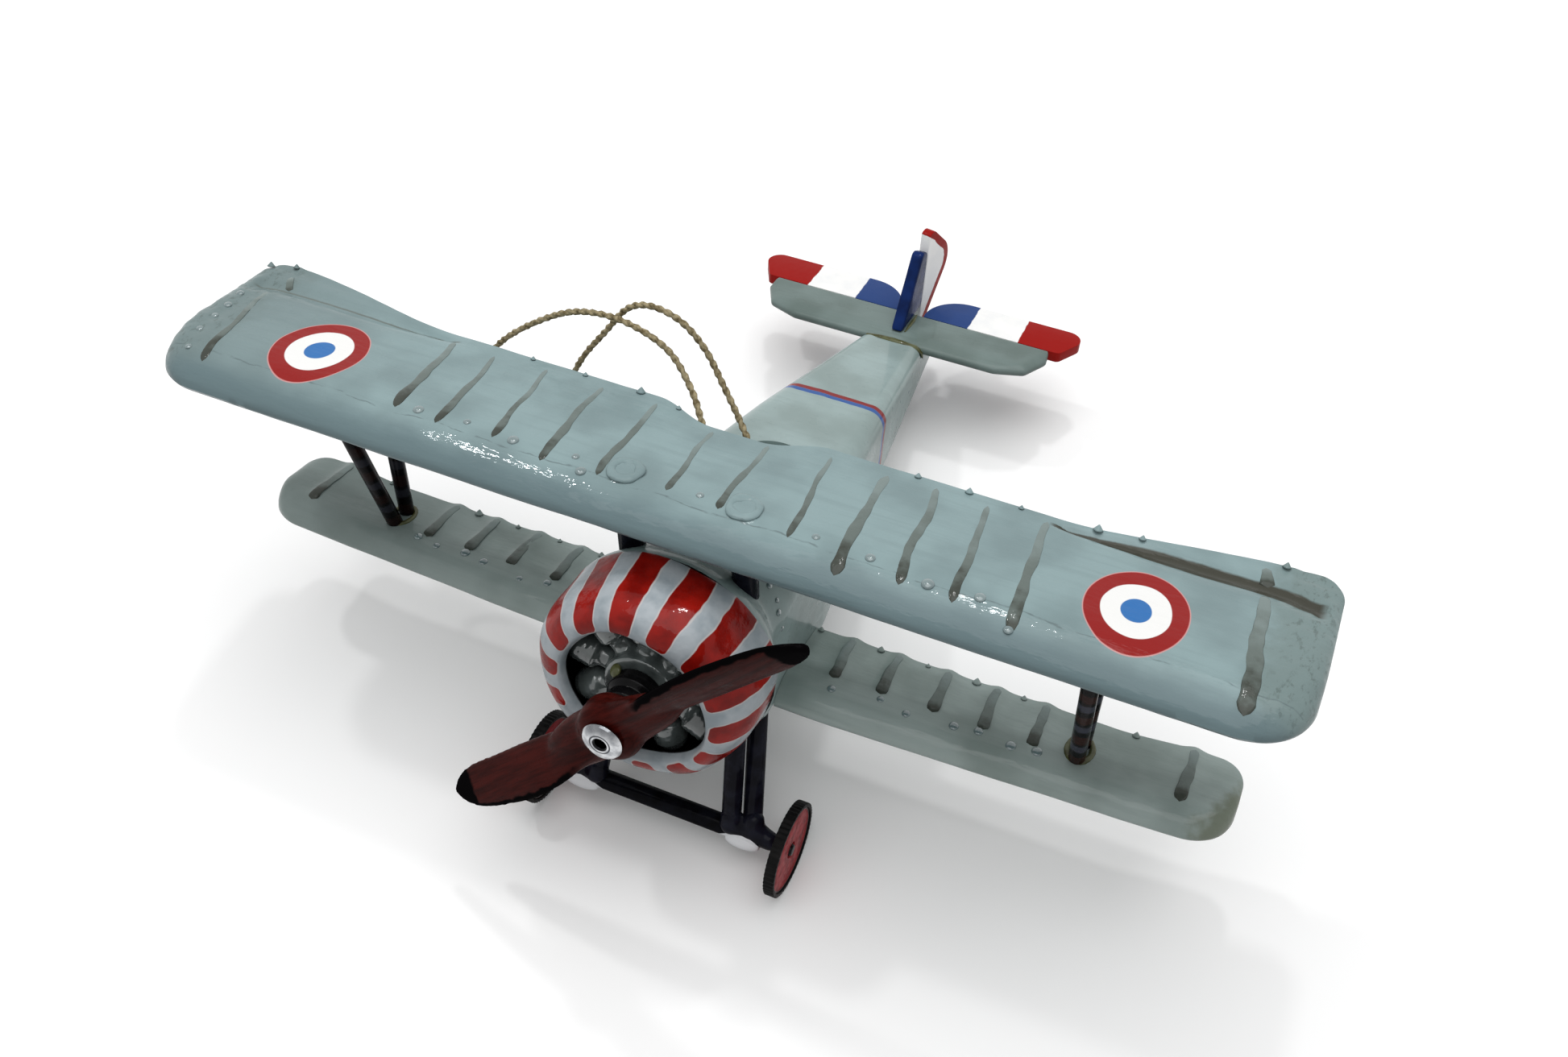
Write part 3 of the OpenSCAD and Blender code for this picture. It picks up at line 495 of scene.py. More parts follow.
def grown(name, tree, finish, slot, values, points, girths, edges=(), leans=(), inks=()):  # keeps what a tree makes
    mesh = bpy.data.meshes.new(name)
    mesh.from_pydata([toPart(*p) for p in points], edges, [])
    setField(mesh, "girth", [g / 1000 for g in girths])
    if inks:
        setField(mesh, "ink", inks)
    if leans:
        setField(mesh, "lean", [c for v in leans for c in (toPart(*v) - toPart(0, 0, 0)).normalized()], "FLOAT_VECTOR")
    piece = linked(name, mesh)
    modifier = piece.modifiers.new(name, "NODES")
    modifier.node_group = tree
    values = dict(values, Finish=finish.material)
    for item in tree.interface.items_tree:
        if item.in_out == "INPUT" and item.name in values:
            modifier[item.identifier] = values[item.name]
    keepPiece(name, finishMesh(piece), finish, slot)


def newRuns():
    return {"points": [], "girths": [], "edges": [], "inks": []}


def addRun(runs, line, girths, closed=False, inks=()):  # one more path for a stroke
    base, n = len(runs["points"]), len(line)
    runs["points"] += line
    runs["girths"] += girths
    runs["inks"] += inks
    runs["edges"] += [(base + i, base + (i + 1) % n) for i in range(n if closed else n - 1)]


# upper wing
wingTones = {"light": (135, 156, 158), "dark": (119, 138, 140), "darkened": (108, 123, 124), "tip": (112, 128, 126),
             "worn": (78, 90, 86), "line": (62, 62, 54), "nose": (96, 115, 119), "crease": (92, 106, 108),
             "thinLine": (96, 106, 102), "red": (140, 26, 24), "white": (232, 232, 230), "blue": (48, 108, 172),
             "rim": (200, 146, 144)}
roundel = {"x": 54.7, "shift": 0.95, "y": 16.7, "long": 1.25, "edge": 0.06,
           "rings": [(5.96, "rim"), (5.84, "red"), (4.0, "white"), (1.78, "blue")]}
wingShade = {"darkened": (-38, -68), "nose": (6.6, 10.3), "crease": (10.12, 10.3), "top": (21.1, 21.2)}


def upperFinish():
    finish = paintFinish("wingPaint", wingTones["light"], wingTones["dark"])
    fuzz = finish.speckle(0.5)
    scruff = fuzz * 6 + finish.ax
    finish.layer(scruff.ramp(*tipWear["paint"]) * 0.75, wingTones["tip"])
    # darker towards the right tip
    finish.layer(finish.x.ramp(*wingShade["darkened"]) * 0.6, wingTones["darkened"])
    dabs = finish.speckle((1.3, 0.7, 1.0), 4, 0.7).ramp(0.52, 0.66)
    finish.layer(dabs * scruff.ramp(*tipWear["dabs"]) * 0.5, wingTones["worn"])
    top = finish.z.ramp(*wingShade["top"])
    roll = finish.speckle((0.11, 0.3, 0.3), 4, 0.6) * 2.6 + finish.y - 1.3
    # darker nose: partly a darker band of paint, partly painted shade on the forward-facing front
    finish.layer(0.9 - roll.ramp(*wingShade["nose"]) * 0.9, wingTones["nose"])
    finish.layer(roll.band(*wingShade["crease"], 0.07) * fuzz.ramp(0.38, 0.6) * top * 0.7, wingTones["crease"])
    along = finish.ax.share(upper["hingeX"], upper["hingeEnd"])
    hinge = along * groove["rise"] - along ** groove["bend"] * groove["turn"] + (upper["hinge"] + 0.17)
    offLine = fuzz * 0.35 + finish.y - hinge
    ends = finish.ax.band(upper["hingeX"], upper["hingeEnd"], 0.6) * top
    portSide = finish.x.ramp(0, 1)
    girth = along.ramp(0, 0.5) * (groove["wide"] - groove["narrow"]) + groove["narrow"]
    finish.layer(offLine.band(-0.2, 0.24, 0.14) * ends, wingTones["thinLine"])
    finish.layer((abs(offLine) / girth).ramp(0.95, 0.7) * ends * portSide, wingTones["line"])
    dx = portSide * roundel["shift"] + finish.ax - roundel["x"]
    dy = (finish.y - roundel["y"]) / roundel["long"]
    far = finish.speckle(0.14, 1) * 0.7 + lengthOf(dx, dy) - 0.35
    for radius, ink in roundel["rings"]:
        finish.layer(far.ramp(radius + roundel["edge"], radius - roundel["edge"]) * top, wingTones[ink])
    return finish


wingPaint = upperFinish()
upperLine = stations(0, upper)
upperLine = [-x for x in reversed(upperLine[1:])] + upperLine
keepPiece("upperWing", wingMesh("upperWingSkin", upper, upperLine, upperRelief), wingPaint, "grey_paint", "upper_wing")
print("upper wing skinned")

# lower wings
lowerTones = {"light": (154, 167, 164), "dark": (132, 145, 141), "stain": (92, 97, 74), "darkened": (112, 124, 122)}
lowerShade = {"darkened": (-12, -60), "stain": (59.5, 62.5), "slant": 0.45}
lowerPaint = paintFinish("lowerWingPaint", lowerTones["light"], lowerTones["dark"])
lowerReach = lowerPaint.speckle(0.4) * 5 + lowerPaint.x - lowerPaint.y * lowerShade["slant"]
# darker towards the right tip
lowerPaint.layer(lowerPaint.x.ramp(*lowerShade["darkened"]) * 0.6, lowerTones["darkened"])
lowerPaint.layer(lowerReach.ramp(*lowerShade["stain"]) * 0.75, lowerTones["stain"])  # yellowed varnish at the left tip
for side, word in ((1, "left"), (-1, "right")):
    skin = wingMesh("lowerWingSkin", lower, [side * x for x in stations(lower["root"], lower)], lowerRelief)
    keepPiece("lowerWing_" + word, skin, lowerPaint, "grey_paint", "lower_wing_" + word)
print("lower wings skinned")

# rib strokes, brushed on from the blunt front end to the trailing edge: rear x, y, front x, y, half width
ribs = {"values": {"Flatness": 0.14, "Sides": 14}, "lowerWide": 0.75, "sway": 0.45, "thin": 0.82, "gap": 0.4, "short": 0.5,
        "upper": [(-41.2, 27.9, -39.3, 10.7, 0.8), (-34.9, 27.4, -32.8, 10.2, 0.6), (-27.5, 28.1, -25.3, 10.9, 0.55),
                  (-19.5, 27.9, -18.0, 9.8, 0.7), (-11.5, 28.0, -10.6, 10.3, 0.6), (-2.8, 25.9, -1.7, 11.4, 0.5),
                  (4.7, 26.8, 4.9, 11.0, 0.55), (12.6, 27.9, 14.3, 10.2, 0.5), (20.0, 27.8, 21.0, 7.6, 0.85),
                  (26.6, 28.2, 28.1, 8.9, 0.75), (32.9, 27.8, 34.8, 8.8, 0.65), (40.3, 28.3, 41.8, 7.6, 0.8),
                  (66.3, 27.0, 67.6, 7.2, 1.15), (-70.0, 26.2, -66.8, 8.5, 0.6),
                  (65.8, 32.4, 66.4, 29.3, 0.9), (-70.2, 31.4, -69.0, 28.6, 0.7)]}
ribTones = {"rear": (120, 133, 131), "middle": (98, 108, 104), "front": (62, 66, 60)}


def ribPaint():
    finish = Finish("ribPaint", **thickGloss)
    cloud = finish.speckle(0.6) * 0.5 + finish.field("ink") - 0.25
    finish.base = ribTones["front"]
    finish.layer(cloud.ramp(0.05, 0.35), ribTones["middle"])
    finish.layer(cloud.ramp(0.4, 0.95), ribTones["rear"])
    finish.rough(0.22, 0.42, 0.6)
    finish.bump(finish.speckle(1.2), 0.2, 0.0004)
    return finish


def brushRib(runs, rear, front, top, wide, seed):  # adds one stroke, sampled on the skin
    line, girths, inks = [], [], []
    steps = max(8, round((rear[1] - front[1]) / ribs["gap"]))
    for i in range(steps + 1):
        t = i / steps
        y = mixed(front[1], rear[1], t)
        x = mixed(front[0], rear[0], t) + ribs["sway"] * wave(seed * 3.1, y * 0.16, 0)
        line.append((x, y, top(x, y)))
        blunt = sqrt(clamp01(t / 0.06)) * sqrt(clamp01((1 - t) / 0.05))
        girths.append(wide * blunt * mixed(1.12, 0.66, t) * (1 + 0.32 * wave(seed, y * 0.4, 5)) + 0.02)
        inks.append(clamp01(t + 0.3 * wave(seed * 1.7, y * 0.25, 9)))
    addRun(runs, line, girths, False, inks)


runs = newRuns()
for i, (rearX, rearY, frontX, frontY, wide) in enumerate(ribs["upper"]):
    rear = (rearX, min(rearY, rearAt(upper, rearX) - ribs["short"]))
    brushRib(runs, rear, (frontX, frontY), upperSkin, wide * ribs["thin"], i * 2.3)
for side in (-1, 1):
    for i, x in enumerate(lowerRibs["x"]):
        front = (side * (x + 0.1), lowerRibs["from"] - (0.4 if x > 60 else 0))  # the outermost starts further forward
        brushRib(runs, (side * x, rearAt(lower, x) - ribs["short"]), front, lowerSkin, ribs["lowerWide"], 40 + i * 2 + side)
grown("ribStrokes", strokes, ribPaint(), "grey_paint_dark", ribs["values"], **runs)
runs = newRuns()
for side in (-1, 1):  # a bead of paint round each dowel end
    line = ovalAt(side * bosses["x"], bosses["y"], bosses["beadR"], bosses["beadR"], bosses["steps"])
    girths = [bosses["bead"] * (1 + 0.5 * wave(x, y, 2, 0.8)) for x, y in line]
    addRun(runs, [(x, y, upperSkin(x, y) - bosses["sink"]) for x, y in line], girths, True)
grown("dowelBeads", strokes, wingPaint, "grey_paint", bosses["values"], **runs)
print("ribs brushed on")

# fuselage
body = {"start": 9.5, "end": 99.5, "half": 11.8, "tail": 4.2, "deck": 12.2, "belly": 12.4, "tailBelly": 8.2, "noseR": 14.5,
        "flareEnd": 15.1, "taper": 34.2, "break": 26, "seat": -1.6, "rise": 0.2, "bellyRun": 26, "roundR": 14.2,
        "corners": [(15.1, 11), (26, 7.5), (40, 4), (60, 2.6), (99.5, 2)], "bellyCorner": 1.2, "cornerSteps": 12,
        "cockpitY": 33.9, "cockpitW": 9, "cockpitL": 11, "cockpitDeep": 3.4, "seatFront": 89.4, "toolTop": 30,
        "bandY": 63.9, "bandWide": 1.05, "bandSoft": 0.06}
bodyTones = {"light": (147, 165, 164), "dark": (130, 146, 144), "red": (122, 14, 14), "blue": (36, 80, 146),
             "mouthShade": (10, 10, 11)}


def cornerAt(y):  # radius of the deck's corners along the body
    line = body["corners"]
    for (y0, r0), (y1, r1) in zip(line, line[1:]):
        if y <= y1:
            return mixed(r0, r1, smooth((y - y0) / (y1 - y0)))
    return line[-1][1]


def deckAt(y):
    return mixed(body["deck"], body["seat"] + body["rise"], clamp01((y - body["break"]) / (body["end"] - body["break"])))


def bodyRing(y):
    flare = 1 - smooth((y - body["start"]) / (body["flareEnd"] - body["start"]))
    taper = clamp01((y - body["taper"]) / (body["end"] - body["taper"]))
    bellyFall = smooth((y - body["taper"]) / body["bellyRun"])
    half = mixed(mixed(body["half"], body["tail"], taper), body["noseR"], flare)
    deck = mixed(deckAt(y), body["noseR"], flare)
    belly = -mixed(mixed(body["belly"], body["tailBelly"], bellyFall), body["noseR"], flare)
    r = mixed(cornerAt(y), body["roundR"], flare)
    q = mixed(body["bellyCorner"], body["roundR"], flare)
    ring = []
    corners = [(half - r, deck - r, r, 0), (r - half, deck - r, r, 90),
               (q - half, belly + q, q, 180), (half - q, belly + q, q, 270)]
    for cx, cz, cr, start in corners:
        for i in range(body["cornerSteps"] + 1):
            a = radians(start + 90 * i / body["cornerSteps"])
            ring.append((-(cx + cr * cos(a)), y, cz + cr * sin(a)))
    return ring


def cutter(name, ring, low):  # an upright prism for carving
    n = len(ring)
    points = [(x, y, z) for z in (low, body["toolTop"]) for x, y in ring]
    return linked(name, closedMesh(name, points, [tuple(range(n)), tuple(range(n, 2 * n))] + ringFaces(2, n)))


def fuselageMesh():
    line = [mixed(body["start"], body["flareEnd"], i / 10) for i in range(11)]
    line += [mixed(body["flareEnd"], body["end"], i / 90) for i in range(1, 91)]
    rings = [[(x * (1 + 0.004 * wave(x, y, z, 0.15)), y, z + 0.5 * unevenness(x, y, z)) for x, y, z in bodyRing(y)]
             for y in line]
    skin = linked("fuselageSkin", skinMesh("fuselageSkin", rings, 45))
    r = body["cockpitW"] / 2
    y0, y1 = body["cockpitY"] + r, body["cockpitY"] + body["cockpitL"] - r
    outline = [(r * cos(radians(a)), y + r * sin(radians(a)))
               for y, start in ((y1, 0), (y0, 180)) for a in range(start, start + 181, 10)]
    front = body["seatFront"]
    tools = [cutter("cockpitTool", outline, deckAt(y1) - body["cockpitDeep"]),
             cutter("seatTool", [(-20, front), (20, front), (20, 130), (-20, 130)], body["seat"])]
    for tool in tools:
        cut = skin.modifiers.new(tool.name, "BOOLEAN")
        cut.object = tool
        cut.operation = "DIFFERENCE"
        cut.solver = "EXACT"
    mesh = finishMesh(skin)
    for tool in tools:
        bpy.data.objects.remove(tool)
    return softShade(mesh, 38)


def fuselageFinish():
    finish = paintFinish("bodyPaint", bodyTones["light"], bodyTones["dark"], 0.04)
    wander = finish.speckle(0.25, 2) * 0.8 + finish.y
    start, wide, soft = body["bandY"], body["bandWide"], body["bandSoft"]
    finish.layer(wander.band(start - wide, start, soft), bodyTones["blue"])
    finish.layer(wander.band(start, start + wide, soft), bodyTones["red"])
    finish.layer(finish.y.ramp(body["start"] + 0.2, body["start"] + 0.1), bodyTones["mouthShade"])  # painted shade: the front face black behind the engine, where the recess lies in shade
    return finish


keepPiece("fuselageBody", fuselageMesh(), fuselageFinish(), "grey_paint", "fuselage")
print("fuselage carved")

# cowling
cowl = {"out": 14.8, "inR": 13.3, "open": 9.6, "lipR": 10.44, "front": -1, "back": 0.56, "full": 5.93, "rear": 9.45,
        "stripes": 14, "share": 0.28, "shift": 39.823, "stripeEnd": 10.35, "steps": 128, "wobble": 0.9}
cowlTones = {"pale": (166, 173, 178), "paleDark": (138, 148, 154), "red": (144, 22, 14), "redDark": (108, 12, 7),
             "edge": (196, 188, 184), "inside": (12, 12, 13)}


def cowlArc(angles, r0, r1, y0, y1):
    return [(mixed(r0, r1, sin(radians(a))), mixed(y0, y1, cos(radians(a)))) for a in angles]


def cowlMesh():
    profile = cowlArc([3.75 * i for i in range(25)], cowl["lipR"], cowl["out"], cowl["full"], cowl["front"])
    profile += [(cowl["out"], mixed(cowl["full"], cowl["rear"], t)) for t in (0.3, 0.6, 0.9)]
    profile += [(cowl["out"] - 0.1, cowl["rear"]), (cowl["inR"], cowl["rear"])]
    profile += cowlArc([90 - 7.5 * i for i in range(12)], cowl["open"], cowl["inR"], cowl["full"], cowl["back"])
    profile += cowlArc([90 - 9 * i for i in range(10)], cowl["lipR"], cowl["open"], cowl["back"], cowl["front"])
    points = []
    for a in turns(cowl["steps"]):
        for r, y in profile:
            x, z = r * sin(a), r * cos(a)
            lift = 1 + cowl["wobble"] * wave(x, y, z, 0.12) / max(4, hypot(x, z))
            points.append((x * lift, y, z * lift))
    return softShade(closedMesh("cowlSkin", points, ringFaces(cowl["steps"], len(profile), True)), 40)


def cowlFinish():
    finish = Finish("cowlPaint", 0.03, 0.25, 0.04)
    fuzz = finish.speckle(0.22, 2)
    angle = finish.x.math("ARCTAN2", finish.z)
    turned = (fuzz - 0.5) * 0.2 + (angle * (cowl["stripes"] / (2 * pi)) + cowl["shift"])
    part = abs(turned.math("FRACT") - 0.5) / cowl["share"]
    radius = lengthOf(finish.x, finish.z)
    past = fuzz * 0.8 + radius - 0.4 - (part ** 6 * 0.55 + cowl["stripeEnd"])  # the inner end of a stripe is rounded
    stripe = part.ramp(1.04, 0.97) * past.ramp(-0.06, 0.06)
    outline = part.ramp(1.16, 1.09) * past.ramp(-0.26, -0.12)
    cloud = finish.speckle(0.3).ramp(0.35, 0.7)
    finish.base = cloud.mix(cowlTones["pale"], cowlTones["paleDark"])
    finish.layer(outline * 0.6, cowlTones["edge"])
    finish.layer(stripe, cloud.mix(cowlTones["red"], cowlTones["redDark"]))
    t = finish.y.share(cowl["full"], cowl["front"])
    shell = (1 - t * t).math("SQRT") * (cowl["out"] - cowl["lipR"]) + cowl["lipR"]
    # painted shade: the inner wall of the cowl black, deep inside the opening
    finish.layer((shell - radius).ramp(0.7, 0.9) * finish.y.ramp(0.2, 0.45), cowlTones["inside"])
    finish.rough(0.2, 0.36, 0.5)
    finish.bump(finish.speckle(0.7), 0.15, 0.0006)
    return finish


keepPiece("cowlShell", cowlMesh(), cowlFinish(), "cowl_paint", "cowling")
print("cowling spun")

# engine, its nose and the rivet
cylinders = {"voxel": 0.24, "rounds": 9, "gaps": (3.75, 4.65), "gapShade": (10, 11, 11)}
rivet = {"darkened": (0.4, 2.4), "darkReflection": (84, 86, 90), "step": (1.22, 1.42), "stepShade": (70, 72, 76),
         "bore": (1.05, 0.95), "boreShade": (30, 30, 32)}
metalFinish = plainFinish("varnishedMetal", (94, 102, 101), (52, 58, 58), 0.25, (0.14, 0.3), 0.03, metal=0.1, coat=0.9)
metalFinish.layer(metalFinish.y.ramp(*cylinders["gaps"]), cylinders["gapShade"])  # painted shade: the engine black towards its back, so that the gaps between the cylinders read dark
blackFinish = plainFinish("blackGloss", (10, 10, 11), (18, 17, 18), 0.5, (0.14, 0.3), specular=0.05, coat=0.07, coatRough=0.05)
rivetFinish = plainFinish("brightMetal", (206, 208, 210), (150, 152, 156), 0.9, (0.08, 0.2), metal=1)
rivetR = lengthOf(rivetFinish.x, rivetFinish.z)
rivetFinish.layer(rivetFinish.z.ramp(*rivet["darkened"]) * 0.75, rivet["darkReflection"])  # painted reflection: the upper part of the flange darker, as it mirrors dark surroundings
# painted shade: a dark ring at the step of the flange
rivetFinish.layer(rivetR.band(*rivet["step"], 0.05), rivet["stepShade"])
# painted shade: the bore darker inside
rivetFinish.layer(rivetR.ramp(*rivet["bore"]), rivet["boreShade"])
keepPiece("engineCylinders", softened(copyNode("engine"), cylinders), metalFinish, "engine_metal", "engine")
dress("engineNose", "crankcase_nose", blackFinish, "black_gloss", 0.12)
dress("hubRivet", "prop_rivet", rivetFinish, "bright_metal", 0.06, 30)
print("engine dressed")

# propeller, carved from one piece
prop = {"voxel": 0.24, "rounds": 8, "hubRounds": 60, "rootLong": 12.5, "rootWide": 3.9, "rootThick": 2.0,
        "rootTurn": radians(20), "hubR": 5.0, "hubFade": 6.5, "span": 33, "chord": 7.4, "bow": 1.1, "mid": -5.8,
        "pitch": (42, 30), "black": (0.9, 0.92), "strip": (0.87, 0.97), "stripFrom": (0.27, 0.33)}
propTones = {"light": (62, 16, 12), "dark": (36, 6, 4), "black": (5, 4, 5)}
propCos, propSin = cos(radians(45)), sin(radians(45))  # the blades stand aslant


def bladeChord(t):  # half chord of a blade, the same rule as the solid
    plan = mixed(0.66, 1, smooth(t / 0.5)) if t < 0.5 else mixed(1, 0.8, smooth((t - 0.5) / 0.5))
    return prop["chord"] / 2 * plan * sqrt(max(0.03, 1 - clamp01((t - 0.82) / 0.18) ** 2))


def addRoot(bench):  # the swelling where the blades run together at the hub
    c, s = cos(prop["rootTurn"]), sin(prop["rootTurn"])
    for vertex in bmesh.ops.create_icosphere(bench, subdivisions=4, radius=1)["verts"]:
        along, wide, deep = vertex.co.x * prop["rootLong"], vertex.co.y * prop["rootWide"], vertex.co.z * prop["rootThick"]
        lean = clamp01(abs(along) / 6) * (1 if along > 0 else -1)  # each blade's own pitch
        across = wide * c + deep * s * lean
        y = prop["mid"] + deep * c - wide * s * lean
        vertex.co = toPart(along * propCos - across * propSin, y, along * propSin + across * propCos)


def propMesh():
    carved = linked("propCarving", softened(worked(copyNode("propeller"), addRoot), prop))
    group = carved.vertex_groups.new(name="nearHub")
    for vertex in carved.data.vertices:
        x, y, z = toBoard(vertex.co)
        group.add([vertex.index], 1 - smooth((hypot(x, z) - prop["hubR"]) / prop["hubFade"]), "REPLACE")
    smoothOver(carved, prop["hubRounds"], group.name)  # the blades run into the hub
    mesh = finishMesh(carved)
    edge, reach = [], []
    for vertex in mesh.vertices:
        x, y, z = toBoard(vertex.co)
        along, across = x * propCos + z * propSin, z * propCos - x * propSin
        t = min(1, abs(along) / prop["span"])
        p = radians(mixed(*prop["pitch"], smooth(t)))
        u = across * (1 if along > 0 else -1) * cos(p) - (y - prop["mid"]) * sin(p)
        edge.append((u - prop["bow"] * sin(pi * t)) / bladeChord(t))
        reach.append(t)
    setField(mesh, "edge", edge)
    setField(mesh, "reach", reach)
    mesh.shade_smooth()
    return mesh


def propFinish():
    finish = Finish("mahogany", coatRough=0.07)
    along = finish.x * propCos + finish.z * propSin
    across = finish.z * propCos - finish.x * propSin
    laid = put(finish.tree, "ShaderNodeCombineXYZ", {0: along * 0.08, 1: across, 2: finish.y})
    lines = finish.speckle(1.1, 5, 0.65, laid)
    finish.base = propTones["light"]
    finish.layer(lines.ramp(0.35, 0.68), propTones["dark"])
    fuzz, edge, reach = finish.speckle(0.5, 2), finish.field("edge"), finish.field("reach")
    strip = (fuzz * 0.3 + edge).ramp(*prop["strip"]) * (fuzz * 0.1 + reach).ramp(*prop["stripFrom"])
    black = (fuzz * 0.06 + reach).ramp(*prop["black"]).math("MAXIMUM", strip)
    finish.layer(black, propTones["black"])
    finish.link(black.share(0, 1, 0.03, 0.02), "Coat Weight")
    finish.link(black.share(0, 1, 0.02, 0), "Specular IOR Level")
    finish.rough(0.24, 0.44, 0.8)
    finish.bump(lines, 0.12, 0.0005)
    return finish


keepPiece("propCarved", propMesh(), propFinish(), "mahogany", "propeller", body="propeller")
print("propeller carved")

# struts, legs, bar and axle
gear = {"dowelDrop": 1.3, "voxel": 0.28, "rounds": 14,
        "fillets": [(10.2, 8.4, -27.4, 1.7), (11.7, 8.7, -27.8, 1.5), (13.0, 8.9, -27.6, 1.75), (13.2, 9.1, -26.2, 1.5),
                    (14.4, 8.7, -28.2, 1.6), (15.7, 8.6, -28.4, 1.4), (16.7, 8.6, -28.5, 1.2), (10.1, 8.5, -26.2, 1.5)]}
strut = {"black": (9, 8, 9), "brown": (44, 24, 20), "grey": (58, 60, 70), "pitch": 5.4}
bar = {"y": 8.6, "z": 28.6, "shoeX": 12.2, "edge": (0.45, 0.3), "silver": (226, 228, 231)}
navyFinish = plainFinish("navyGloss", (15, 15, 22), (28, 29, 40), 0.4, (0.14, 0.32), **darkGloss)


def strutFinish():
    finish = Finish("bandedStrut", **darkGloss)
    step = ((finish.speckle(0.6, 2) * 1.2 + finish.z) * (1 / strut["pitch"])).math("FRACT")
    clear = finish.x.share(-1, 1, 0.35, 1)
    finish.base = strut["black"]
    finish.layer(step.band(0.12, 0.4, 0.04) * clear, strut["grey"])
    finish.layer(step.band(0.52, 0.86, 0.05) * clear, strut["brown"])
    finish.rough(0.16, 0.32, 0.8)
    finish.bump(finish.speckle(1.2), 0.03, 0.0004)
    return finish


def barFinish():
    finish = plainFinish("barPaint", (7, 7, 9), (15, 16, 22), 0.4, (0.14, 0.32), specular=0.01, coat=0.035, coatRough=0.05)
    facing = (finish.z + bar["z"]) * 0.8 + (finish.y - bar["y"]) * 0.6
    point = abs(finish.ax - bar["shoeX"]) * 0.5
    finish.layer((facing + point).ramp(*bar["edge"]), bar["silver"])
    return finish


def filletMesh(side):  # thick paint that has run together where legs, bar and axle meet
    def fill(bench):
        for x, y, z, r in gear["fillets"]:
            ball = bmesh.ops.create_icosphere(bench, subdivisions=3, radius=r / 1000)["verts"]
            bmesh.ops.translate(bench, verts=ball, vec=toPart(side * x, y, z))
    return softened(worked(bpy.data.meshes.new("gearPaint"), fill), gear)


banded = strutFinish()
for word in ("left", "right"):
    for end in ("front_", "rear_"):
        dress("wingStrut_" + end + word, "interplane_" + end + word, banded, "black_gloss")
        dress("gearLeg_" + end + word, "gear_" + end + word, navyFinish, "navy_gloss")
    dowel = copyNode("cabane_" + word, 35, 0.1)
    for vertex in dowel.vertices:
        x, y, z = toBoard(vertex.co)
        if z > upper["z"]:
            vertex.co = toPart(x, y, z - gear["dowelDrop"])
    keepPiece("cabaneDowel_" + word, dowel, navyFinish, "navy_gloss", "cabane_" + word)
for side, word in ((1, "left"), (-1, "right")):
    keepPiece("gearPaint_" + word, filletMesh(side), navyFinish, "navy_gloss")
dress("spreaderBar", "spreader_bar", barFinish(), "navy_gloss", 0.08)
dress("axleRod", "axle", blackFinish, "black_gloss", 0.06)

# wheels
wheel = {"y": 8.6, "z": -28.6, "tyreIn": 5.9, "discFrom": 5.0, "discTo": 9, "grow": 0.4,
         "rim": (5.7, 5.85), "rimTone": (104, 98, 98)}
tyreFinish = plainFinish("tyreBlack", (14, 14, 14), (24, 23, 23), 0.8, (0.35, 0.55), specular=0.05)
discFinish = plainFinish("redDisc", (166, 56, 60), (120, 36, 40), 0.8, (0.28, 0.45), specular=0.03, coat=0.05, coatRough=0.12)
discR = lengthOf(discFinish.y - wheel["y"], discFinish.z - wheel["z"])
discFinish.layer(discR.ramp(*wheel["rim"]), wheel["rimTone"])


def widened(mesh, low, high):  # moves what lies between two radii from the axle outwards
    for vertex in mesh.vertices:
        x, y, z = toBoard(vertex.co)
        dy, dz = y - wheel["y"], z - wheel["z"]
        r = hypot(dy, dz)
        if low < r < high:
            k = (r + wheel["grow"]) / r
            vertex.co = toPart(x, wheel["y"] + dy * k, wheel["z"] + dz * k)
    return mesh


for word in ("left", "right"):
    tyre = widened(copyNode("tyre_" + word, 25, 0.05, 1), 0, wheel["tyreIn"])
    disc = widened(copyNode("wheel_disc_" + word, 30, 0.06), wheel["discFrom"], wheel["discTo"])
    keepPiece("tyre_" + word + "_ribbed", tyre, tyreFinish, "tyre_black", "tyre_" + word, body="wheel_" + word)
    keepPiece("wheelDisc_" + word, disc, discFinish, "red_plastic", "wheel_disc_" + word, body="wheel_" + word)
    dress("axleCap_" + word, "axle_cap_" + word, blackFinish, "black_gloss", 0.06, 30)
print("struts and wheels dressed")

# tail
tailTones = {"red": (146, 22, 18), "white": (240, 240, 238), "whiteDark": (232, 233, 233), "blue": (44, 68, 120),
             "navy": (18, 42, 96), "navyDark": (11, 28, 68), "rudder": (252, 252, 251), "rudderDark": (246, 247, 247)}
tailEdge = {"voxel": 0.26, "rounds": 7}
elevator = {"redFrom": (18.55, 18.7), "blueTo": (10.1, 9.95)}
rudder = {"y": 101.78, "set": radians(12), "mid": (2.81, 7.32), "redFrom": (3.04, 3.16),
          "sides": [(0.863, -0.505), (0.97, -0.25), (1, 0), (0.93, 0.37), (0.8, 0.6), (0.647, 0.763)]}


def wandering(finish, value):  # a hand-painted edge doesn't run straight
    return finish.speckle(0.5, 2) * 0.5 + value - 0.25


def elevatorFinish():
    finish = plainFinish("elevatorPaint", tailTones["white"], tailTones["whiteDark"], 0.3, (0.3, 0.45), **boardGloss)
    out = wandering(finish, finish.ax)
    finish.layer(out.ramp(*elevator["redFrom"]), tailTones["red"])
    finish.layer(out.ramp(*elevator["blueTo"]), tailTones["blue"])
    return finish


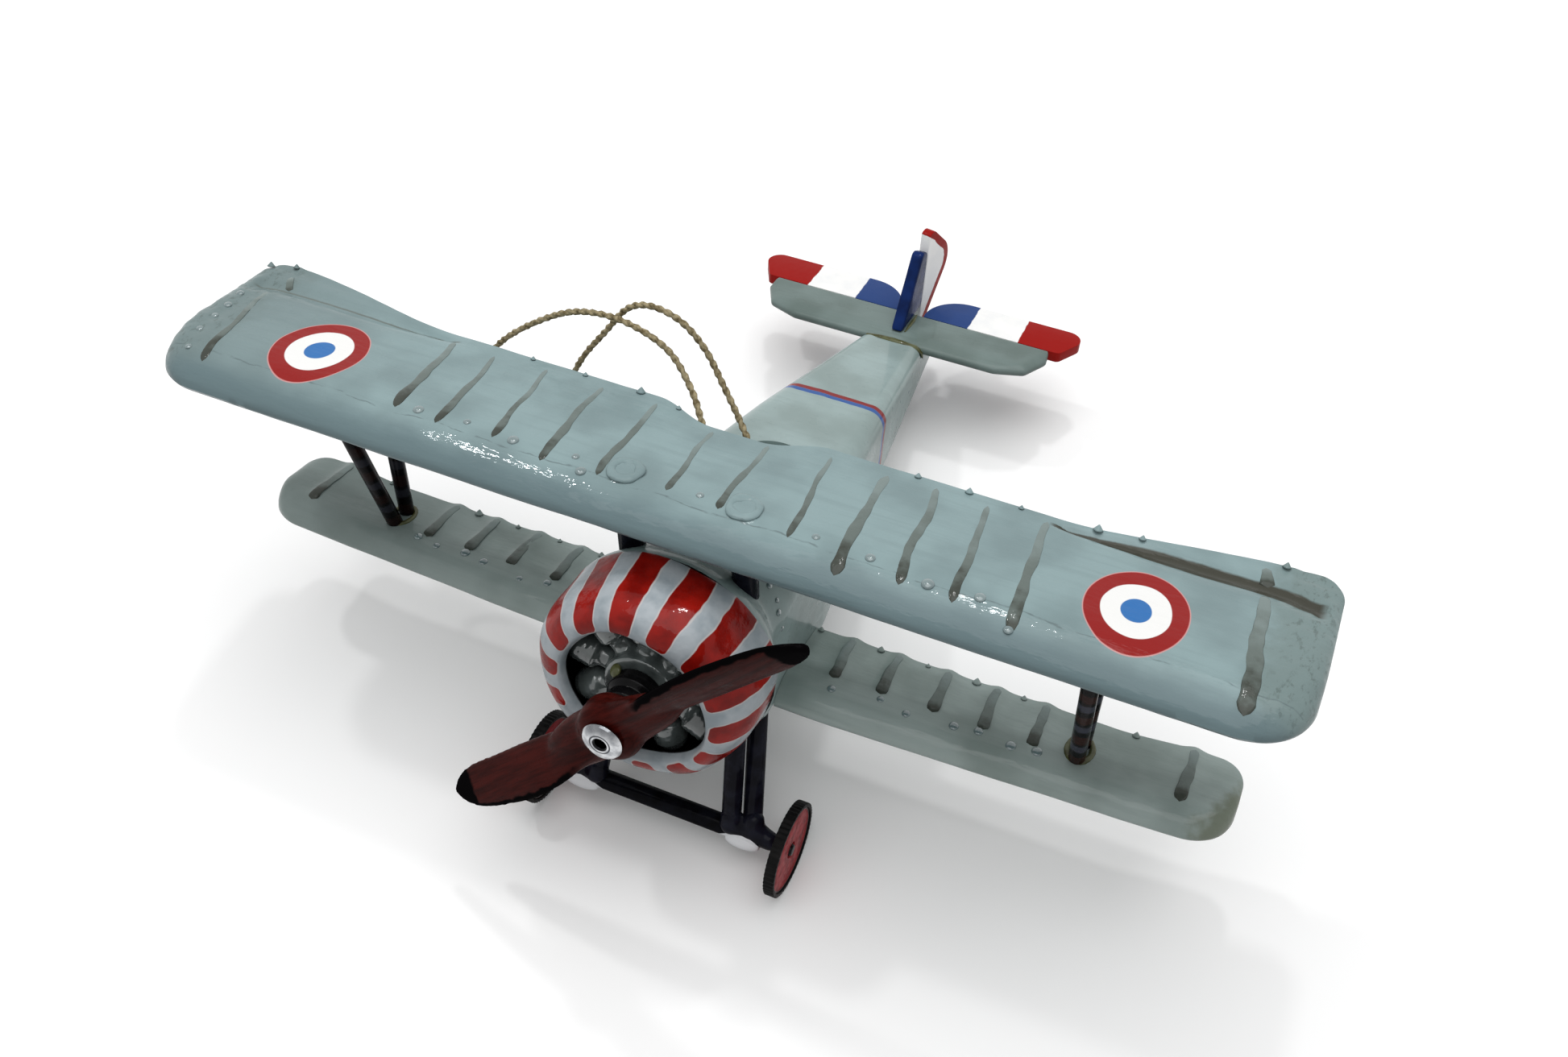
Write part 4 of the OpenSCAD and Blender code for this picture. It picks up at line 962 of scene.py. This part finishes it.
def rudderFinish():
    # the rudder's white is brighter than the elevators' white: painted light on its lit side
    finish = plainFinish("rudderPaint", tailTones["rudder"], tailTones["rudderDark"], 0.3, (0.3, 0.45), **boardGloss)
    u = finish.x * sin(rudder["set"]) + (finish.y - rudder["y"]) * cos(rudder["set"]) - rudder["mid"][0]
    v = finish.z - rudder["mid"][1]
    reaches = [u * nu + v * nv for nu, nv in rudder["sides"]]  # how far out towards the curved trailing edge
    out = reaches[0]
    for reach in reaches[1:]:
        out = out.math("MAXIMUM", reach)
    finish.layer(wandering(finish, out).ramp(*rudder["redFrom"]), tailTones["red"])
    return finish


elevatorPaint = elevatorFinish()
tailFinish = paintFinish("tailPaint", (111, 126, 123), (95, 109, 105), 0.08)
finFinish = plainFinish("finPaint", tailTones["navy"], tailTones["navyDark"], 0.3, (0.2, 0.36), 0,
                        specular=0.02, coat=0.08, coatRough=0.07)
brassFinish = plainFinish("eyeBrass", (178, 148, 84), (130, 104, 58), 0.8, (0.22, 0.4), metal=1)
keepPiece("tailBoard", softened(copyNode("tailplane"), tailEdge), tailFinish, "grey_paint_dark", "tailplane")
for word in ("left", "right"):
    dress("elevatorBoard_" + word, "elevator_" + word, elevatorPaint, "white_paint", 0.4, segments=4)
keepPiece("finBoard", softened(copyNode("fin"), tailEdge), finFinish, "blue_paint", "fin")
dress("rudderBoard", "rudder", rudderFinish(), "white_paint", 0.35, segments=4)
dress("skidDowel", "tail_skid", navyFinish, "navy_gloss", 0.15)
dress("screwEye", "screw_eye", brassFinish, "eye_brass", 0)
print("tail dressed")

# twine through the eye
twine = {"girth": 1.0, "ply": 0.32, "lay": 2.6, "steps": 10, "height": 14.182, "sides": 8, "beside": (0.45, 0.75, 0.5),
         "route": [(0, 31.5, 0), (0.6, 29.4, -0.1), (0.2, 27.4, 0.9), (-1.6, 26.5, 2.2), (-3.8, 27.6, 3.6), (-6, 30, 5.4),
                   (-9, 32.6, 8.4), (-13.2, 34, 12.2), (-19.5, 34, 14.5), (-26, 34, 14), (-32, 34, 10.8), (-38.5, 34.2, 5.2),
                   (-43, 35, -2), (-44.5, 36, -8), (-42, 37.2, -12.5), (-37.5, 38, -13), (-33, 38, -8.5), (-28.6, 38, 2.6),
                   (-24.2, 38, 9.4), (-21, 38, 13.8), (-17.5, 38, 15.2), (-13.2, 38, 14.2), (-9.6, 38, 11), (-6.4, 37.2, 6.8),
                   (-3, 35.8, 2.7), (-0.5, 33.7, 0.5)]}


def twinePath():
    route, n, line = twine["route"], len(twine["route"]), []
    for i in range(n):
        p, q, r, s = (Vector(route[(i + k) % n]) for k in (-1, 0, 1, 2))
        for k in range(twine["steps"]):
            t = k / twine["steps"]
            line.append(0.5 * (2 * q + (r - p) * t + (2 * p - 5 * q + 4 * r - s) * t * t + (3 * q - p - 3 * r + s) * t ** 3))
    return [p + Vector((0, 0, twine["height"])) for p in line]


def twineMesh(line):
    n, sides, points = len(line), twine["sides"], []
    steps = [(line[(i + 1) % n] - line[i]).length for i in range(n)]
    length = sum(steps)
    lays = round(length / twine["lay"])
    offset = twine["girth"] / 2 - twine["ply"]
    for ply in (0, 1):
        for i in range(n):
            along = (line[(i + 1) % n] - line[i - 1]).normalized()
            across = along.cross(Vector(twine["beside"])).normalized()
            over = along.cross(across)
            a = 2 * pi * lays * sum(steps[:i]) / length + pi * ply
            centre = line[i] + offset * (across * cos(a) + over * sin(a))
            points += [centre + twine["ply"] * (across * cos(b) + over * sin(b)) for b in turns(sides)]
    mesh = closedMesh("twine", points, ringFaces(n, sides, True) + ringFaces(n, sides, True, n * sides))
    mesh.shade_smooth()
    return mesh, length


hempFinish = plainFinish("hemp", (158, 146, 116), (96, 84, 58), 1.6, (0.6, 0.85), specular=0.1)
line = twinePath()
twineShape, twineLength = twineMesh(line)
twinePiece = keepPiece("twineLoop", twineShape, hempFinish, "hemp", "twine_loop")
closed = [toPart(*p) for p in line]
twineLength / 1000
print("twine laid,", round(twineLength, 1), "mm")

# drops of varnish and little spikes of paint
beads = {"drop": 0.62, "wallDrop": 0.4, "spike": 0.42, "spikeIn": (0.35, 0.4), "spikeLift": 0.1,
         "dropValues": {"Width": 1.0, "Height": 0.5, "Unevenness": 0.3, "Seed": 4},
         "spikeValues": {"Width": 1.2, "Height": 1.3, "Unevenness": 0.3, "Seed": 7},
         "dropLean": (0, -0.1, 1), "spikeLean": (0, 0.25, 1),
         "upper": [(-36.1, 11.4), (-29.5, 12.0), (-22.7, 11.5), (-14.4, 12.1), (-12.6, 10.1), (2.1, 12.3), (17.2, 11.6),
                   (24.1, 11.1), (31.4, 10.1), (37.4, 10.5), (41.6, 7.9), (-72.6, 23.6), (-71.9, 20.2), (-71.6, 17.2),
                   (-71.1, 13.6), (-70.0, 10.0)],
         "lower": [(28.8, 20.4), (35.1, 21.1), (38.3, 21.6), (42.8, 21.1), (46.1, 21.6), (24.9, 21.3), (18.4, 20.2)],
         "wall": [(9.67, 17.5, 8.0, 0.6), (10.86, 17.5, 6.0, 0.41), (11.37, 17.0, 4.5, 0.28),
                  (11.8, 17.5, 1.5, 0)],  # x, y, z and upward lean
         "upperSpikes": [-74.2, -70.9, -30.4, -22.6, -14.5, -8.6, 23.5, 30.1, 36.7, 46.1, 51.3, 67.8],
         "lowerSpikes": [12.7, 21.5, 28.3, 35.2, 41.8, 57]}
clearFinish = plainFinish("varnishDrop", (98, 116, 118), (112, 130, 131), 0.6, (0.05, 0.12), 0, coat=1, coatRough=0.07)
points = [(x, y, upperSkin(x, y)) for x, y in beads["upper"]]
points += [(side * x, y, lowerSkin(x, y)) for side in (-1, 1) for x, y in beads["lower"]]
leans = [beads["dropLean"]] * len(points) + [(1 - lean ** 2, 0, lean) for x, y, z, lean in beads["wall"]]
sizes = [beads["drop"]] * len(points) + [beads["wallDrop"]] * len(beads["wall"])
points += [spot[:3] for spot in beads["wall"]]
grown("varnishDrops", drops, clearFinish, "grey_paint", beads["dropValues"], points, sizes, leans=leans)


def setSpikes(name, finish, wing, inset, places):  # along a trailing edge
    spots = [(x, rearAt(wing, x) - inset) for x in places]
    points = [(x, y, topAt(wing, x, y) + beads["spikeLift"]) for x, y in spots]
    count = len(points)
    grown(name, spikes, finish, "grey_paint", beads["spikeValues"], points, [beads["spike"]] * count,
          leans=[beads["spikeLean"]] * count)


setSpikes("upperSpikes", wingPaint, upper, beads["spikeIn"][0], beads["upperSpikes"])
setSpikes("lowerSpikes", lowerPaint, lower, beads["spikeIn"][1], [side * x for side in (-1, 1) for x in beads["lowerSpikes"]])
print("drops and spikes set")

# yellowed glue at the joints
glue = {"ringX": 1.6, "ringY": 2.5, "ringGirth": 0.42, "ringSteps": 20, "seatGirth": 0.5, "finGirth": 0.3, "thinEnd": 0.4,
        "foot": (51, 24.8), "runValues": {"Flatness": 0.6, "Sides": 12},
        "dabValues": {"Width": 0.9, "Height": 0.4, "Unevenness": 0.0, "Seed": 2}, "dabLean": (-0.5, -0.6, 0.6),
        "seat": [(-4.3, 89.7, 0.2), (-2, 89.5, 0.5), (0, 89.5, 0.55), (2, 89.5, 0.5), (4.3, 89.7, 0.2),
                 (5.2, 90.2, -0.7), (5.35, 90.6, -1.9)],
        "fin": [(1.3, 92.6, 0.7), (1.35, 94.5, 0.7), (1.4, 96.4, 0.7), (1.3, 98.6, 0.7)], "nose": [(-2.9, 0.4, 2.6)]}
glueFinish = plainFinish("yellowedGlue", (88, 92, 62), (62, 62, 30), 0.7, (0.1, 0.24), 0.02,
                         specular=0.05, coat=0.35, coatRough=0.04)
runs = newRuns()


def glueRun(line, girth, closed=False):
    girths = [girth * (1 + 0.35 * wave(*spot, 0.6)) for spot in line]
    if not closed:
        girths[0] *= glue["thinEnd"]
        girths[-1] *= glue["thinEnd"]
    addRun(runs, line, girths, closed)


for side in (-1, 1):
    ring = ovalAt(*glue["foot"], glue["ringX"], glue["ringY"], glue["ringSteps"])
    glueRun([(side * x, y, lowerSkin(x, y) + 0.05) for x, y in ring], glue["ringGirth"], True)
glueRun(glue["seat"], glue["seatGirth"])
glueRun(glue["fin"], glue["finGirth"])
grown("glueRuns", strokes, glueFinish, "grey_paint", glue["runValues"], **runs)
grown("glueDab", drops, glueFinish, "grey_paint", glue["dabValues"], glue["nose"], [1], leans=[glue["dabLean"]])
print("glue run on")

# stage and light
stage = {"size": 3.0, "fade": (0.3, 0.75), "floor": 0.97, "bounce": 0.5, "rough": 0.9, "specular": 0.1, "sky": 0.525,
         "boxPower": 15.6, "boxSize": (1.7, 1.35), "boxPlace": (0.12, -0.05, 1.6),
         "lampPower": 0.48, "lampSize": (0.038, 0.038), "lampPlaces": [(-0.3, 0.1, 0.6), (-0.05, 0.24, 0.64)]}


def seenRays(tree):  # 1 for what the camera sees, straight or by a shiny or clear surface
    rays = tree.nodes.new("ShaderNodeLightPath").outputs
    shiny = Value(rays["Is Glossy Ray"]).math("MAXIMUM", Value(rays["Is Transmission Ray"]))
    return Value(rays["Is Camera Ray"]).math("MAXIMUM", shiny)


def addLamp(name, place, power, size):
    data = bpy.data.lights.new(name, "AREA")
    data.energy = power
    data.shape = "RECTANGLE"
    data.size, data.size_y = size
    lamp = linked(name, data)
    lamp.location = place
    lamp.rotation_euler = (-Vector(place)).to_track_quat("-Z", "Y").to_euler()


half = stage["size"] / 2
floorMesh = bpy.data.meshes.new("floor")
floorMesh.from_pydata([(-half, -half, 0), (half, -half, 0), (half, half, 0), (-half, half, 0)], [], [(0, 1, 2, 3)])
floor = linked("floor", floorMesh)
paper = Finish("paperWhite", stage["specular"])
paperSeen = seenRays(paper.tree)
paperSpot = put(paper.tree, "ShaderNodeTexCoord", which="Object")
paperFar = put(paper.tree, "ShaderNodeVectorMath", {0: paperSpot}, "Value", operation="LENGTH")
paperFade = paperFar.ramp(*stage["fade"]) * paperSeen
paper.link(paperSeen.share(0, 1, stage["bounce"], stage["floor"]) * (1 - paperFade), "Base Color")
paper.link(paperFade, "Emission Strength")
paper.shader.inputs["Emission Color"].default_value = (1, 1, 1, 1)
paper.shader.inputs["Roughness"].default_value = stage["rough"]
floorMesh.materials.append(paper.material)
addLamp("softBox", stage["boxPlace"], stage["boxPower"], stage["boxSize"])
for i, place in enumerate(stage["lampPlaces"]):
    addLamp("smallLamp" + str(i), place, stage["lampPower"], stage["lampSize"])
world = bpy.data.worlds.new("paleRoom")
scene.world = world
world.use_nodes = True
sky = world.node_tree
background = sky.nodes["Background"]
background.inputs["Color"].default_value = (1, 1, 1, 1)
sky.links.new(seenRays(sky).share(0, 1, stage["sky"], 1).socket, background.inputs["Strength"])
scene.view_settings.view_transform = "Standard"
print("stage lit")
